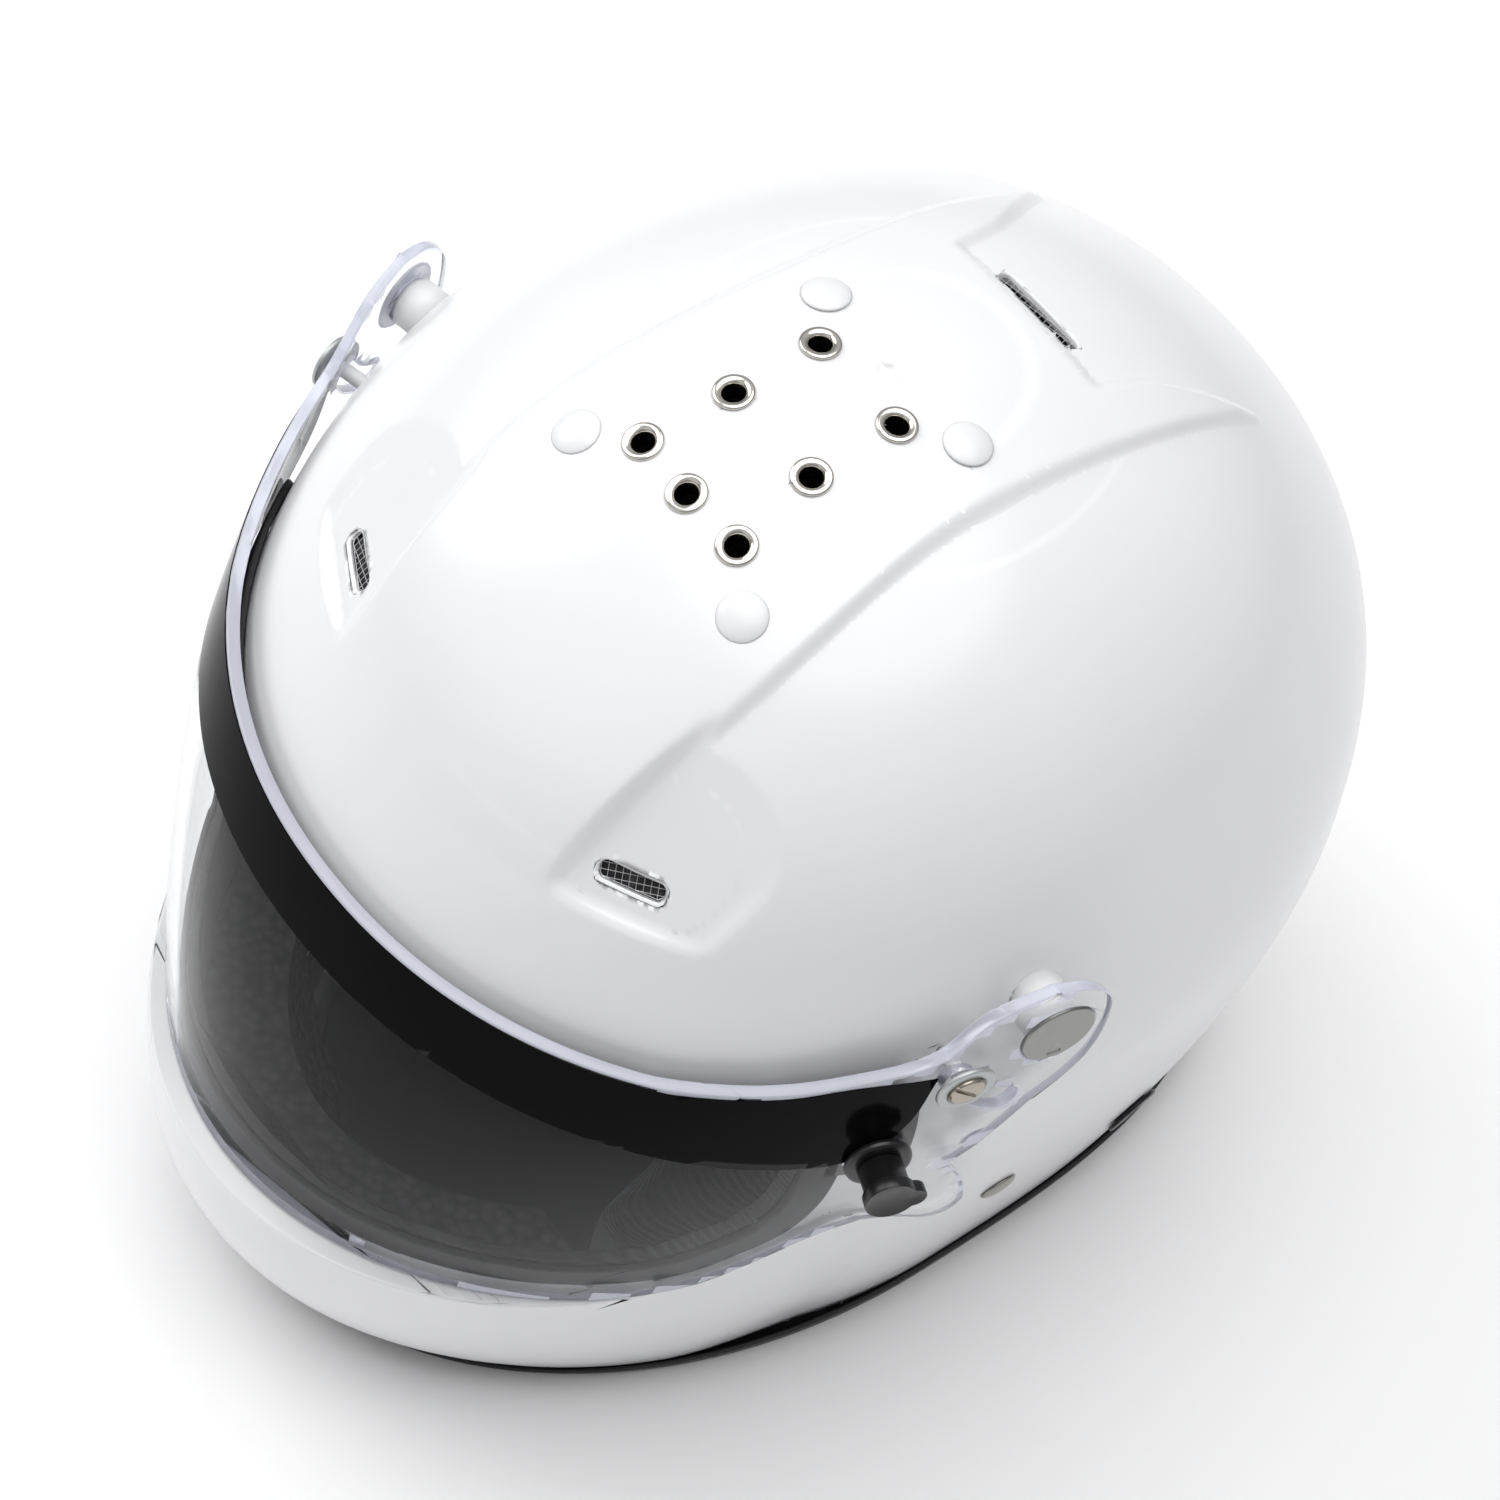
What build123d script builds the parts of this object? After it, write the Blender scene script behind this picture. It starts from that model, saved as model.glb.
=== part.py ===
from build123d import *
import math
import os

os.makedirs("parts", exist_ok=True)

# Auto racing helmet. Millimetres, +Z up, the helmet faces -Y, the wearer's left is +X.
# The origin is at the level of the bottom rim, under the middle of the helmet.

# Driving dimensions of the shell
half_width = 126.0
shell_height = 266.0
crown_y = 7.1
front_reach = 157.2
rear_reach = 153.7
chin_proud = 10.7
front_belly = 59.0
rear_belly = 109.0
side_belly = 147.7
front_tuck = 31.0
rear_tuck = 12.9
side_tuck = 30.6
shell_wall = 3.5
rim_lift = 1.6
band_rise = 2.0

# Squareness of the curves: two is an ellipse
front_power_top = 2.07
front_power_low = 1.85
rear_power_top = 2.12
rear_power_low = 3.1
chin_power = 2.04
front_rise_power = 2.18
rear_rise_power = 2.4
side_rise_power = 2.18
side_tuck_power = 1.22
rear_tuck_power = 2.4

# Clearances
fit_gap = 0.3
touch_gap = 0.1
seat_gap = 0.2
turn_gap = 0.05
overrun = 60.0

# Head room inside the padding
head_front = 108.0
head_rear = 106.0
head_side = 82.0
head_height = 228.0
liner_thickness = 8.0

# Heights of the slices that all forms share, then shares of the way from the last one to the crown
slice_heights = [0.0, 10.0, 22.0, 40.0, front_belly, 84.0, rear_belly, 128.0, side_belly, 172.0, 195.0]
crown_shares = [0.25, 0.47, 0.65, 0.8, 0.91, 0.97, 0.9985]
slice_spacing = 6.0
outline_count = 24


def shell_size(grow, lift=0.0, proud=0.0, upright=False):
    """Front reach, rear reach, half width and height of the shell's form grown by an amount."""
    return (front_reach + grow + proud, rear_reach + grow, half_width + grow,
            shell_height + grow + lift, upright, proud > 0)


def head_size(grow):
    return (head_front + grow, head_rear + grow, head_side + grow, head_height + grow, False, False)


def falloff(part_way, power):
    return (1 - min(1, max(0, part_way)) ** power) ** (1 / power)


def extents(z, size):
    """Front reach, rear reach and half width of the plan curve at a height."""
    front, rear, side, top, upright, chin = size
    if z < front_belly:
        front = front - front_tuck * ((front_belly - z) / front_belly) ** 2
    elif not chin:
        front = front * falloff((z - front_belly) / (top - front_belly), front_rise_power)
    if z < rear_belly:
        rear = rear - rear_tuck * ((rear_belly - z) / rear_belly) ** rear_tuck_power
    else:
        rear = rear * falloff((z - rear_belly) / (top - rear_belly), rear_rise_power)
    if z < side_belly:
        side = side - side_tuck * ((side_belly - z) / side_belly) ** side_tuck_power
    elif not upright:
        side = side * falloff((z - side_belly) / (top - side_belly), side_rise_power)
    return front, rear, side


def powers(z, size):
    """Squareness of the front and rear plan curves at a height."""
    low = min(1, max(0, (side_belly - z) / side_belly))
    front = front_power_top + (front_power_low - front_power_top) * low
    rear = rear_power_top + (rear_power_low - rear_power_top) * low
    return (chin_power if size[-1] else front), rear


def plan_points(z, size):
    """Points of the closed plan curve at a height, from the front round by the left."""
    front, rear, side = extents(z, size)
    front_power, rear_power = powers(z, size)
    points = []
    for step in range(outline_count):
        turn = 2 * math.pi * step / outline_count
        ahead, across = math.cos(turn), math.sin(turn)
        power = front_power if ahead >= 0 else rear_power
        reach = front if ahead >= 0 else rear
        points.append((side * math.copysign(abs(across) ** (2 / power), across),
                       crown_y - reach * math.copysign(abs(ahead) ** (2 / power), ahead)))
    return points


def surface_x(y, z, size):
    """Half width of the form at a side-view point."""
    front, rear, side = extents(z, size)
    front_power, rear_power = powers(z, size)
    ahead = crown_y - y
    if ahead >= 0:
        return side * falloff(ahead / front, front_power)
    return side * falloff(-ahead / rear, rear_power)


def surface_z(x, y, size):
    """Height of the form over a plan point, by halving."""
    low, high = rear_belly, size[3]
    for _ in range(outline_count):
        middle = (low + high) / 2
        if surface_x(y, middle, size) > abs(x):
            low = middle
        else:
            high = middle
    return low


def crown_plane(x, y, size):
    """Plane on the crown's surface, its normal out of the shell."""
    step = shell_wall
    slope_x = (surface_z(x + step, y, size) - surface_z(x - step, y, size)) / (2 * step)
    slope_y = (surface_z(x, y + step, size) - surface_z(x, y - step, size)) / (2 * step)
    return Plane(origin=(x, y, surface_z(x, y, size)), z_dir=(-slope_x, -slope_y, 1))


def side_plane(y, z, side, size, lean=None):
    """Plane on the form's side, its normal out of the form or leaning forward by some degrees."""
    step = shell_wall
    slope_y = (surface_x(y + step, z, size) - surface_x(y - step, z, size)) / (2 * step)
    slope_z = (surface_x(y, z + step, size) - surface_x(y, z - step, size)) / (2 * step)
    if lean is not None:
        slope_y, slope_z = math.tan(math.radians(lean)), 0
    return Plane(origin=(side * surface_x(y, z, size), y, z), x_dir=(slope_z * side, 0, 1),
                 z_dir=(side, -slope_y, -slope_z))


def form(size, floor=0.0, ceiling=None):
    """Solid of the plan curves stacked from a floor to a ceiling or to the crown."""
    top, last = size[3], slice_heights[-1]
    heights = slice_heights + [last + (top - last) * share for share in crown_shares]
    highest = top if ceiling is None else ceiling - slice_spacing
    heights = [floor] + [z for z in heights if floor + slice_spacing < z < highest]
    if ceiling is not None:
        heights.append(ceiling)
    with BuildPart() as body:
        for z in heights:
            with BuildSketch(Plane.XY.offset(z)):
                with BuildLine():
                    Spline(*plan_points(z, size), periodic=True)
                make_face()
        loft()
    return body.part


def prism(sketch, near=-half_width * 2, far=half_width * 2):
    """Solid of a side-view sketch between two stations across the helmet."""
    with BuildPart() as body:
        with BuildSketch(Plane.YZ.offset(near)):
            add(sketch)
        extrude(amount=far - near)
    return body.part


def spot(plane, radius, start, end):
    """Round solid on a plane, between two heights over it."""
    with BuildPart() as body:
        with BuildSketch(plane.offset(start)):
            Circle(radius)
        extrude(amount=end - start)
    return body.part


def side_points(shares):
    """Side-view points: shares of the front reach before the crown, and of the height."""
    return [(crown_y - ahead * front_reach, up * shell_height) for ahead, up in shares]


def inset(points, amount):
    """Points of an open curve moved to the left of its run."""
    moved = []
    for index, (y, z) in enumerate(points):
        before, after = points[max(index - 1, 0)], points[min(index + 1, len(points) - 1)]
        run = math.hypot(after[0] - before[0], after[1] - before[1])
        moved.append((y - amount * (after[1] - before[1]) / run, z + amount * (after[0] - before[0]) / run))
    return moved


def around(centre, radius, angle):
    turn = math.radians(angle)
    return (centre[0] + radius * math.cos(turn), centre[1] + radius * math.sin(turn))


# Side-view outlines
before_face_share = 1.3
before_face = crown_y - front_reach * before_face_share
low_front_share = 0.2645
lower_edge_shares = [(0.95, 0.2655), (0.83, 0.271), (0.711, 0.284), (0.61, 0.313), (0.542, 0.359),
                     (0.489, 0.401), (0.45, 0.421), (0.412, 0.432)]
lobe_shares = [(0.412, 0.432), (0.365, 0.421), (0.325, 0.4045), (0.29, 0.387), (0.262, 0.379),
               (0.238, 0.381), (0.227, 0.397), (0.239, 0.428), (0.275, 0.48), (0.32, 0.524)]
top_edge_shares = [(0.70, 0.643), (0.58, 0.656), (0.488, 0.6725), (0.386, 0.695), (0.316, 0.745)]
top_front_share = 0.639

pivot = (-26.3, 186.6)
post_radius = 5.95
guide_radius = 23.5
guide_angle = 205.0
guide_travel = 42.0
guide_slot_width = 7.4
ear_radius = 15.0
ear_shares = [(-0.227, 1.16), (0.42, 0.96), (0.82, 0.527), (0.92, 0.0), (0.887, -0.573),
              (0.733, -1.04), (0.367, -1.473), (-0.067, -1.813)]

lower_edge = side_points(lower_edge_shares)
lobe_edge = side_points(lobe_shares)
top_edge = side_points(top_edge_shares)
ear_edge = [(pivot[0] + y * ear_radius, pivot[1] + z * ear_radius) for y, z in ear_shares]
low_front = (before_face, low_front_share * shell_height)
top_front = (before_face, top_front_share * shell_height)
with BuildSketch() as shield_outline:
    with BuildLine():
        Line(low_front, lower_edge[0])
        Spline(*lower_edge)
        Spline(*lobe_edge)
        Line(lobe_edge[-1], ear_edge[-1])
        Spline(*reversed(ear_edge))
        Spline(ear_edge[0], *reversed(top_edge))
        Line(top_edge[0], top_front)
        Line(top_front, low_front)
    make_face()
    with Locations(pivot):
        Circle(post_radius + turn_gap, mode=Mode.SUBTRACT)
        SlotArc(CenterArc((0, 0), guide_radius, guide_angle, guide_travel), guide_slot_width,
                mode=Mode.SUBTRACT)

# Ledge under the shield's lower edge, on top of the chin bar
ledge_gap = 1.2
ledge_drop_share = 0.395
chin_end_share = 0.16
chin_ledge_shares = lower_edge_shares + [(0.365, 0.42), (0.30, ledge_drop_share)]
chin_ledge = [(y, z - ledge_gap) for y, z in side_points(chin_ledge_shares)]
chin_end = crown_y - front_reach * chin_end_share


def chin_region():
    """Side-view region of the chin bar, under its ledge."""
    ledge = chin_ledge
    with BuildSketch() as region:
        with BuildLine():
            Line((before_face, ledge[0][1]), ledge[0])
            Spline(*ledge)
            Polyline(ledge[-1], (chin_end, ledge[-1][1]), (chin_end, -overrun),
                     (before_face, -overrun), (before_face, ledge[0][1]))
        make_face()
    return region.sketch


chin_ceiling = 128.0


def helmet_form(grow, floor, lift):
    """The shell's form together with its chin bar."""
    with BuildPart() as body:
        add(form(shell_size(grow, proud=chin_proud), floor, chin_ceiling))
        add(prism(chin_region()), mode=Mode.INTERSECT)
        add(form(shell_size(grow, lift), floor))
    return body.part


# Eye port and its gasket
gasket_width = 8.0
gasket_thickness = 1.9
gasket_shares = [(0.95, 0.278), (0.745, 0.295), (0.61, 0.326), (0.542, 0.368), (0.489, 0.411),
                 (0.45, 0.432), (0.405, 0.447), (0.365, 0.466), (0.345, 0.505), (0.347, 0.56),
                 (0.37, 0.603), (0.42, 0.626), (0.55, 0.627), (0.80, 0.621)]
gasket_edge = side_points(gasket_shares)


def port_region(amount):
    """Side-view region inside the gasket's outer edge, less a margin."""
    edge = inset(gasket_edge, amount)
    with BuildSketch() as region:
        with BuildLine():
            Line((before_face, edge[0][1]), edge[0])
            Spline(*edge)
            Polyline(edge[-1], (before_face, edge[-1][1]), (before_face, edge[0][1]))
        make_face()
    return region.sketch


# Crown: raised band, vent pockets and slots
band_shares = [(0.325, 0.735), (0.356, 0.425), (0.318, 0.062), (0.321, -0.334), (0.323, -0.568),
               (0.22, -0.384), (0.198, -0.284)]
pocket_shares = [(0.31, 0.78), (0.345, 0.425), (0.565, 0.43), (0.60, 0.52), (0.58, 0.66), (0.52, 0.78)]
pocket_floor_share = 0.745
pocket_depth = 3.0
pocket_floor_lean = 38.0
band_floor_share = 0.73
band_front_share = 0.8
slot_height = 3.6
slot_half = 8.2
slot_turn = 29.5
slot_centre = (54.4, -97.4, 204.6)
rear_slot_y = 55.5
rear_slot_half = 13.5
mesh_thickness = 1.0
mesh_inset = 1.6

band_left = [(x * half_width, crown_y - y * front_reach) for x, y in band_shares]
band_right = [(-x, y) for x, y in reversed(band_left)]
band_front = (0, crown_y - front_reach * band_front_share)
pocket_plan = [(x * half_width, crown_y - y * front_reach) for x, y in pocket_shares]


def plan_prism(points, floor, top):
    with BuildPart() as body:
        with BuildSketch(Plane.XY.offset(floor)):
            with BuildLine():
                Polyline(*points, close=True)
            make_face()
        extrude(amount=top - floor)
    return body.part


def slot_block(side, length, height, deep, shallow):
    """Level block through a front vent slot, between two depths from the slot's middle."""
    centre = slot_centre
    across = Plane(origin=(side * centre[0], centre[1], centre[2]),
                   x_dir=(math.cos(math.radians(slot_turn)), side * math.sin(math.radians(slot_turn)), 0),
                   z_dir=(side * math.sin(math.radians(slot_turn)), -math.cos(math.radians(slot_turn)), 0))
    with BuildPart() as body:
        with BuildSketch(across.offset(-deep)):
            SlotOverall(length, height)
        extrude(amount=deep + shallow)
    return body.part


def pocket_wedge(side):
    """Block over the flat floor of a front vent pocket."""
    x, y, z = slot_centre
    lean = math.radians(pocket_floor_lean)
    turn = math.radians(slot_turn)
    out = (side * math.sin(turn) * math.cos(lean), -math.cos(turn) * math.cos(lean), math.sin(lean))
    with BuildPart() as body:
        with BuildSketch(Plane(origin=(side * x, y, z), z_dir=out).offset(-pocket_depth)):
            Rectangle(half_width, half_width)
        extrude(amount=half_width)
    return body.part


def rear_slot_block(half, width, floor, top):
    with BuildPart() as body:
        with BuildSketch(Plane.XY.offset(floor)):
            with Locations((0, rear_slot_y)):
                SlotOverall(half * 2, width)
        extrude(amount=top - floor)
    return body.part


# Eyelets and duct plugs on the crown, as shares of the half width and the front reach
eyelet_shares = [(0.136, 0.345), (0.112, 0.204), (0.11, 0.049), (0, 0.351)]
plug_shares = [(0.242, 0.394), (0.204, -0.024)]
eyelet_flange_radius = 5.0
eyelet_flange_height = 1.0
eyelet_tube_radius = 3.1
eyelet_bore_radius = 2.6
eyelet_depth = 5.0
plug_radius = 6.0
plug_height = 1.9
plug_stem_radius = 3.5
crown_size = shell_size(0)


def spread(shares):
    """Both sides of a set of plan shares."""
    spots = []
    for across, ahead in shares:
        x, y = across * half_width, crown_y - ahead * front_reach
        spots.append((x, y))
        if x > 0:
            spots.append((-x, y))
    return spots


eyelet_planes = [crown_plane(x, y, crown_size) for x, y in spread(eyelet_shares)]
plug_planes = [crown_plane(x, y, crown_size) for x, y in spread(plug_shares)]

# Shield, its pivots and its guide screws
shield_gap = 2.6
shield_wall = 3.0
film_thickness = 0.25
inner_size = shell_size(shield_gap, upright=True)
outer_size = shell_size(shield_gap + shield_wall, upright=True)
film_size = shell_size(shield_gap + shield_wall + touch_gap + film_thickness, upright=True)
film_back = shell_size(shield_gap + shield_wall + touch_gap, upright=True)
skin_low = slice_heights[3]
skin_high = 214.0
cut_low = slice_heights[2]
cut_high = skin_high + shield_wall

disc_radius = 9.4
disc_seat = 1.2
disc_proud = 1.2
post_foot_radius = 7.2
post_foot_x = 121.6
post_end_x = 126.9
nut_radius = 7.5
nut_stub_radius = 4.0
nut_inner_x = 105.8
nut_flange_x = 109.2
nut_stub_x = 118.5

guide_lean = 15.0
washer_radius = 7.2
washer_thickness = 1.3
washer_lift = 1.3
screw_head_radius = 4.25
screw_head_height = 2.2
screw_slot_width = 1.1
screw_slot_depth = 1.0
shank_radius = 2.0
shank_end = 16.0
insert_radius = 4.0
insert_start = 20.0
insert_end = 10.0
insert_flange_radius = 7.0
insert_flange_start = 17.2
insert_flange_end = 15.4

guide = around(pivot, guide_radius, guide_angle)

# Latch on the left end of the shield
latch = (-62.9, 151.1)
flange_radius = 8.1
flange_height = 2.6
flange_seat = 0.6
barrel_radius = 4.5
barrel_start = 2.8
barrel_end = 8.6
barrel_bore = 3.5
barrel_cap = 1.5
knob_sleeve_radius = 5.4
knob_neck = 9.4
knob_face = 12.6
knob_head_radius = 6.25
knob_lobe_radius = 3.2
knob_lobe_offset = 5.4
knob_recess_radius = 4.6
knob_recess_depth = 0.8
pin_radius = 2.0
pin_end = 11.2
pin_nose = 4.2
pin_collar_radius = 3.3
collar_start = 2.5
collar_end = 1.1
spring_wire = 0.3
spring_radius = 2.85
spring_turns = 3.5
catch_half = 7.6
catch_low = 140.0
catch_high = 170.5
catch_y = -60.4

# Chin strap, rivets and rings
rivet = (0.9, 72.2)
rivet_radius = 5.2
rivet_height = 1.6
rivet_shank_radius = 2.5
rivet_inner = 8.2
strap_half = 12.5
strap_outer_grow = -5.9
strap_thickness = 1.8
strap_top = 82.0
strap_turn_height = 20.0
strap_low = 8.5
strap_turn_shares = [(0.33, 1.4), (1.2, 1.0), (2.0, 1.0)]
strap_left_end = 62.0
strap_right_end = 42.0
plate_half = 10.0
loop_radius = 6.4
ring_wire = 1.75
ring_lift = 2.2
ring_half = 17.5
ring_reach = 24.0

# Padding
pad_outer_grow = -9.0
foam_outer_grow = -4.1
cheek_low = 17.0
cheek_high = 108.0
cheek_front = -92.0
cheek_rear = 20.0
cheek_middle_x = 62.0
foam_low = 48.0
foam_port = 169.0
foam_port_y = -50.0
brow_low = 170.0
brow_high = 196.0
chin_foam_depth = 22.0
chin_foam_low = 12.0
chin_foam_high = 62.0
chin_foam_half = 74.0
neck_low = 12.0
neck_high = foam_low - fit_gap * 3
neck_front = 48.0
neck_depth = 30.0

# Head restraint anchors, low at the rear of each side
anchor = (66.0, 38.0)
anchor_flange_radius = 8.0
anchor_flange_height = 1.4
anchor_tube_radius = 5.0
anchor_bore_radius = 2.5
anchor_depth = 12.0
anchor_bore_depth = 10.0

# Rim trim and further details
trim_height = 6.0
trim_thickness = 1.8
slot_reach = 14.0
eyelet_reach = 8.0
plug_depth = 3.4
catch_slot_sweep = 30.0
screw_slot_turn = 25.0
knob_lobe_angle = -90.0
strip_margin = 0.9
strip_shares = [(0.385, 0.6748), (0.4154, 0.611), (0.4816, 0.5677), (0.5667, 0.5602), (0.6667, 0.5602),
                (0.8416, 0.571), (0.95, 0.5795)]
plate_outer = 3.8
plate_thickness = 1.2
loop_bore = 4.7
ring_arm = 9.0
ring_inner = ring_half - ring_wire * 2
foam_cheek = 112.0
foam_hole_depth = 60.0
foam_liner_step = 6.0
chin_foam_rear = -95.0
cheek_points = [(cheek_front, cheek_low), (cheek_rear, cheek_low), (cheek_rear, cheek_high),
                (-40.0, cheek_high), (-48.0, 92.0), (-66.0, 84.0), (cheek_front, 74.0)]


# Private forms, built once and used by several pieces
shell_inside = form(shell_size(-shell_wall, -band_rise), 0)
band_form = form(shell_size(0), band_floor_share * shell_height)
band_prism = plan_prism([band_front] + band_left + band_right, side_belly, shell_height + overrun)
pocket_prisms = [plan_prism([(side * x, y) for x, y in pocket_plan], pocket_floor_share * shell_height,
                            shell_height) for side in (1, -1)]
port_prism = prism(port_region(gasket_width))
gasket_prism = prism(port_region(0) - port_region(gasket_width))

pivot_planes = {side: side_plane(*pivot, side, outer_size) for side in (1, -1)}
guide_planes = {side: side_plane(*guide, side, outer_size, guide_lean) for side in (1, -1)}
anchor_planes = {side: side_plane(*anchor, side, shell_size(0)) for side in (1, -1)}
rivet_planes = {side: side_plane(*rivet, side, shell_size(0)) for side in (1, -1)}
latch_plane = side_plane(*latch, 1, outer_size)


def axle(side, radius, start, end):
    """Round solid along the shield's turning axis, between two stations."""
    with BuildPart() as body:
        with BuildSketch(Plane.YZ.offset(min(side * start, side * end))):
            with Locations(pivot):
                Circle(radius)
        extrude(amount=abs(end - start))
    return body.part


def arc_slot(side, width, radius, start_angle, end_angle):
    """Prism of an arc slot round the pivot, through one side of the helmet."""
    near, far = sorted((side * half_width / 2, side * half_width * 2))
    middle = CenterArc((0, 0), radius, start_angle, end_angle - start_angle)
    outline = Plane.YZ.offset(near) * Pos(*pivot) * SlotArc(middle, width)
    return extrude(outline, amount=far - near)


def block(low, high):
    """Box between two corners."""
    with BuildPart() as body:
        with Locations([((low[0] + high[0]) / 2, (low[1] + high[1]) / 2, (low[2] + high[2]) / 2)]):
            Box(high[0] - low[0], high[1] - low[1], high[2] - low[2])
    return body.part


shell_holes = [rear_slot_block(rear_slot_half, slot_height, rear_belly, shell_height + overrun)]
for side in (1, -1):
    shell_holes += [
        slot_block(side, slot_half * 2, slot_height, slot_reach, slot_reach),
        axle(side, nut_stub_radius + turn_gap, nut_inner_x, half_width),
        spot(guide_planes[side], insert_radius + turn_gap, -insert_start, 0),
        spot(anchor_planes[side], anchor_tube_radius + turn_gap, -anchor_depth, anchor_depth),
        spot(rivet_planes[side], rivet_shank_radius + turn_gap, -anchor_depth, anchor_depth)]
for plane in eyelet_planes:
    shell_holes.append(spot(plane, eyelet_tube_radius + turn_gap, -eyelet_reach, eyelet_reach))
for plane in plug_planes:
    shell_holes.append(spot(plane, plug_stem_radius + turn_gap, -eyelet_reach, eyelet_reach))

with BuildPart() as outer_shell:
    add(helmet_form(0, rim_lift, -band_rise))
    add(band_form & band_prism)
    for side, pocket in zip((1, -1), pocket_prisms):
        add(pocket & pocket_wedge(side), mode=Mode.SUBTRACT)
    add(shell_inside, mode=Mode.SUBTRACT)
    add(port_prism, mode=Mode.SUBTRACT)
    add(shell_holes, mode=Mode.SUBTRACT)
outer_shell.part.label = "outer_shell"
export_step(outer_shell.part, "parts/outer_shell.step")

rim_hollow = form(shell_size(-shell_wall - trim_thickness), -rim_lift, trim_height + rim_lift)
rim_groove = (form(shell_size(fit_gap, proud=chin_proud), rim_lift - fit_gap, trim_height + rim_lift)
              - form(shell_size(-shell_wall - fit_gap), 0, trim_height + rim_lift * 2))
with BuildPart() as shell_edge_trim:
    add(form(shell_size(trim_thickness, proud=chin_proud), 0, trim_height))
    add(rim_hollow, mode=Mode.SUBTRACT)
    add(rim_groove, mode=Mode.SUBTRACT)
shell_edge_trim.part.label = "shell_edge_trim"
export_step(shell_edge_trim.part, "parts/shell_edge_trim.step")


def catch_region(margin):
    """Side-view region of the latch catch, with an arched top."""
    with BuildSketch() as region:
        with Locations((catch_y, (catch_low - margin + catch_high - catch_half) / 2)):
            Rectangle((catch_half + margin) * 2, catch_high - catch_half - catch_low + margin)
        with Locations((catch_y, catch_high - catch_half)):
            Circle(catch_half + margin)
    return region.sketch


nose = latch_plane.origin - latch_plane.z_dir * (pin_nose + collar_start) / 2
latch_angle = math.degrees(math.atan2(nose.Z - pivot[1], nose.Y - pivot[0]))
latch_radius = math.dist(pivot, (nose.Y, nose.Z))
catch_skin = (form(shell_size(touch_gap + gasket_thickness), skin_low, skin_high)
              - form(shell_size(touch_gap), cut_low, cut_high))
catch_slot = arc_slot(1, (pin_radius + fit_gap * 3) * 2, latch_radius, latch_angle - catch_slot_sweep, latch_angle)
with BuildPart() as latch_catch:
    add(catch_skin)
    add(prism(catch_region(0), half_width / 2), mode=Mode.INTERSECT)
    add(catch_slot, mode=Mode.SUBTRACT)
latch_catch.part.label = "latch_catch"
export_step(latch_catch.part, "parts/latch_catch.step")

chin_bar = form(shell_size(fit_gap, proud=chin_proud), skin_low, chin_ceiling) & prism(chin_region())
with BuildPart() as eyeport_gasket:
    add(catch_skin)
    add(gasket_prism, mode=Mode.INTERSECT)
    add(chin_bar.moved(Location((0, 0, fit_gap))), mode=Mode.SUBTRACT)
    add(prism(catch_region(touch_gap), half_width / 2), mode=Mode.SUBTRACT)
eyeport_gasket.part.label = "eyeport_gasket"
export_step(eyeport_gasket.part, "parts/eyeport_gasket.step")

with BuildPart() as shield:
    add(form(outer_size, skin_low, skin_high))
    add(form(inner_size, cut_low, cut_high), mode=Mode.SUBTRACT)
    add(prism(shield_outline.sketch), mode=Mode.INTERSECT)
    for side in (1, -1):
        add(spot(pivot_planes[side], disc_radius + turn_gap, -disc_seat, disc_seat * 2), mode=Mode.SUBTRACT)
    add(spot(latch_plane, barrel_radius + touch_gap, -shield_wall * 3, shield_wall), mode=Mode.SUBTRACT)
shield.part.label = "shield"
export_step(shield.part, "parts/shield.step")

strip_edge = side_points(strip_shares)
strip_top = [(y, z - strip_margin) for y, z in top_edge[:3]] + [strip_edge[0]]
with BuildSketch() as strip_region:
    with BuildLine():
        Line((before_face, strip_edge[-1][1]), strip_edge[-1])
        Spline(*reversed(strip_edge))
        Spline(*reversed(strip_top))
        Polyline(strip_top[0], (before_face, strip_top[0][1]), (before_face, strip_edge[-1][1]))
    make_face()
with BuildPart() as shield_sunstrip:
    add(form(film_size, skin_low, skin_high))
    add(form(film_back, cut_low, cut_high), mode=Mode.SUBTRACT)
    add(prism(strip_region.sketch), mode=Mode.INTERSECT)
    add(spot(latch_plane, barrel_radius + touch_gap, -shield_wall, shield_wall), mode=Mode.SUBTRACT)
shield_sunstrip.part.label = "shield_sunstrip"
export_step(shield_sunstrip.part, "parts/shield_sunstrip.step")


def pivot_disc(side):
    """Flat disc in the shield's counterbore, hollowed under the post's end."""
    with BuildPart() as body:
        add(spot(pivot_planes[side], disc_radius, turn_gap - disc_seat, disc_proud))
        add(axle(side, post_radius + fit_gap, post_foot_x, post_end_x + fit_gap), mode=Mode.SUBTRACT)
    return body.part


def pivot_post(side):
    """Post that the shield turns on, its foot shaped to the shell."""
    with BuildPart() as body:
        add(axle(side, post_foot_radius, nut_inner_x, post_foot_x))
        add(axle(side, post_radius, nut_inner_x, post_end_x))
        add(post_seat, mode=Mode.SUBTRACT)
        add(axle(side, nut_stub_radius + turn_gap, nut_inner_x, nut_stub_x + fit_gap), mode=Mode.SUBTRACT)
    return body.part


def guide_screw(side):
    """Slotted screw, its head above the washer."""
    plane = guide_planes[side]
    seat = washer_lift + washer_thickness + turn_gap
    with BuildPart() as body:
        add(spot(plane, screw_head_radius, seat, seat + screw_head_height))
        with BuildSketch(plane.offset(seat + screw_head_height - screw_slot_depth)):
            Rectangle(screw_slot_width, screw_head_radius * 3, rotation=screw_slot_turn)
        extrude(amount=screw_head_height, mode=Mode.SUBTRACT)
        add(spot(plane, shank_radius, -shank_end, seat))
    return body.part


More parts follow.
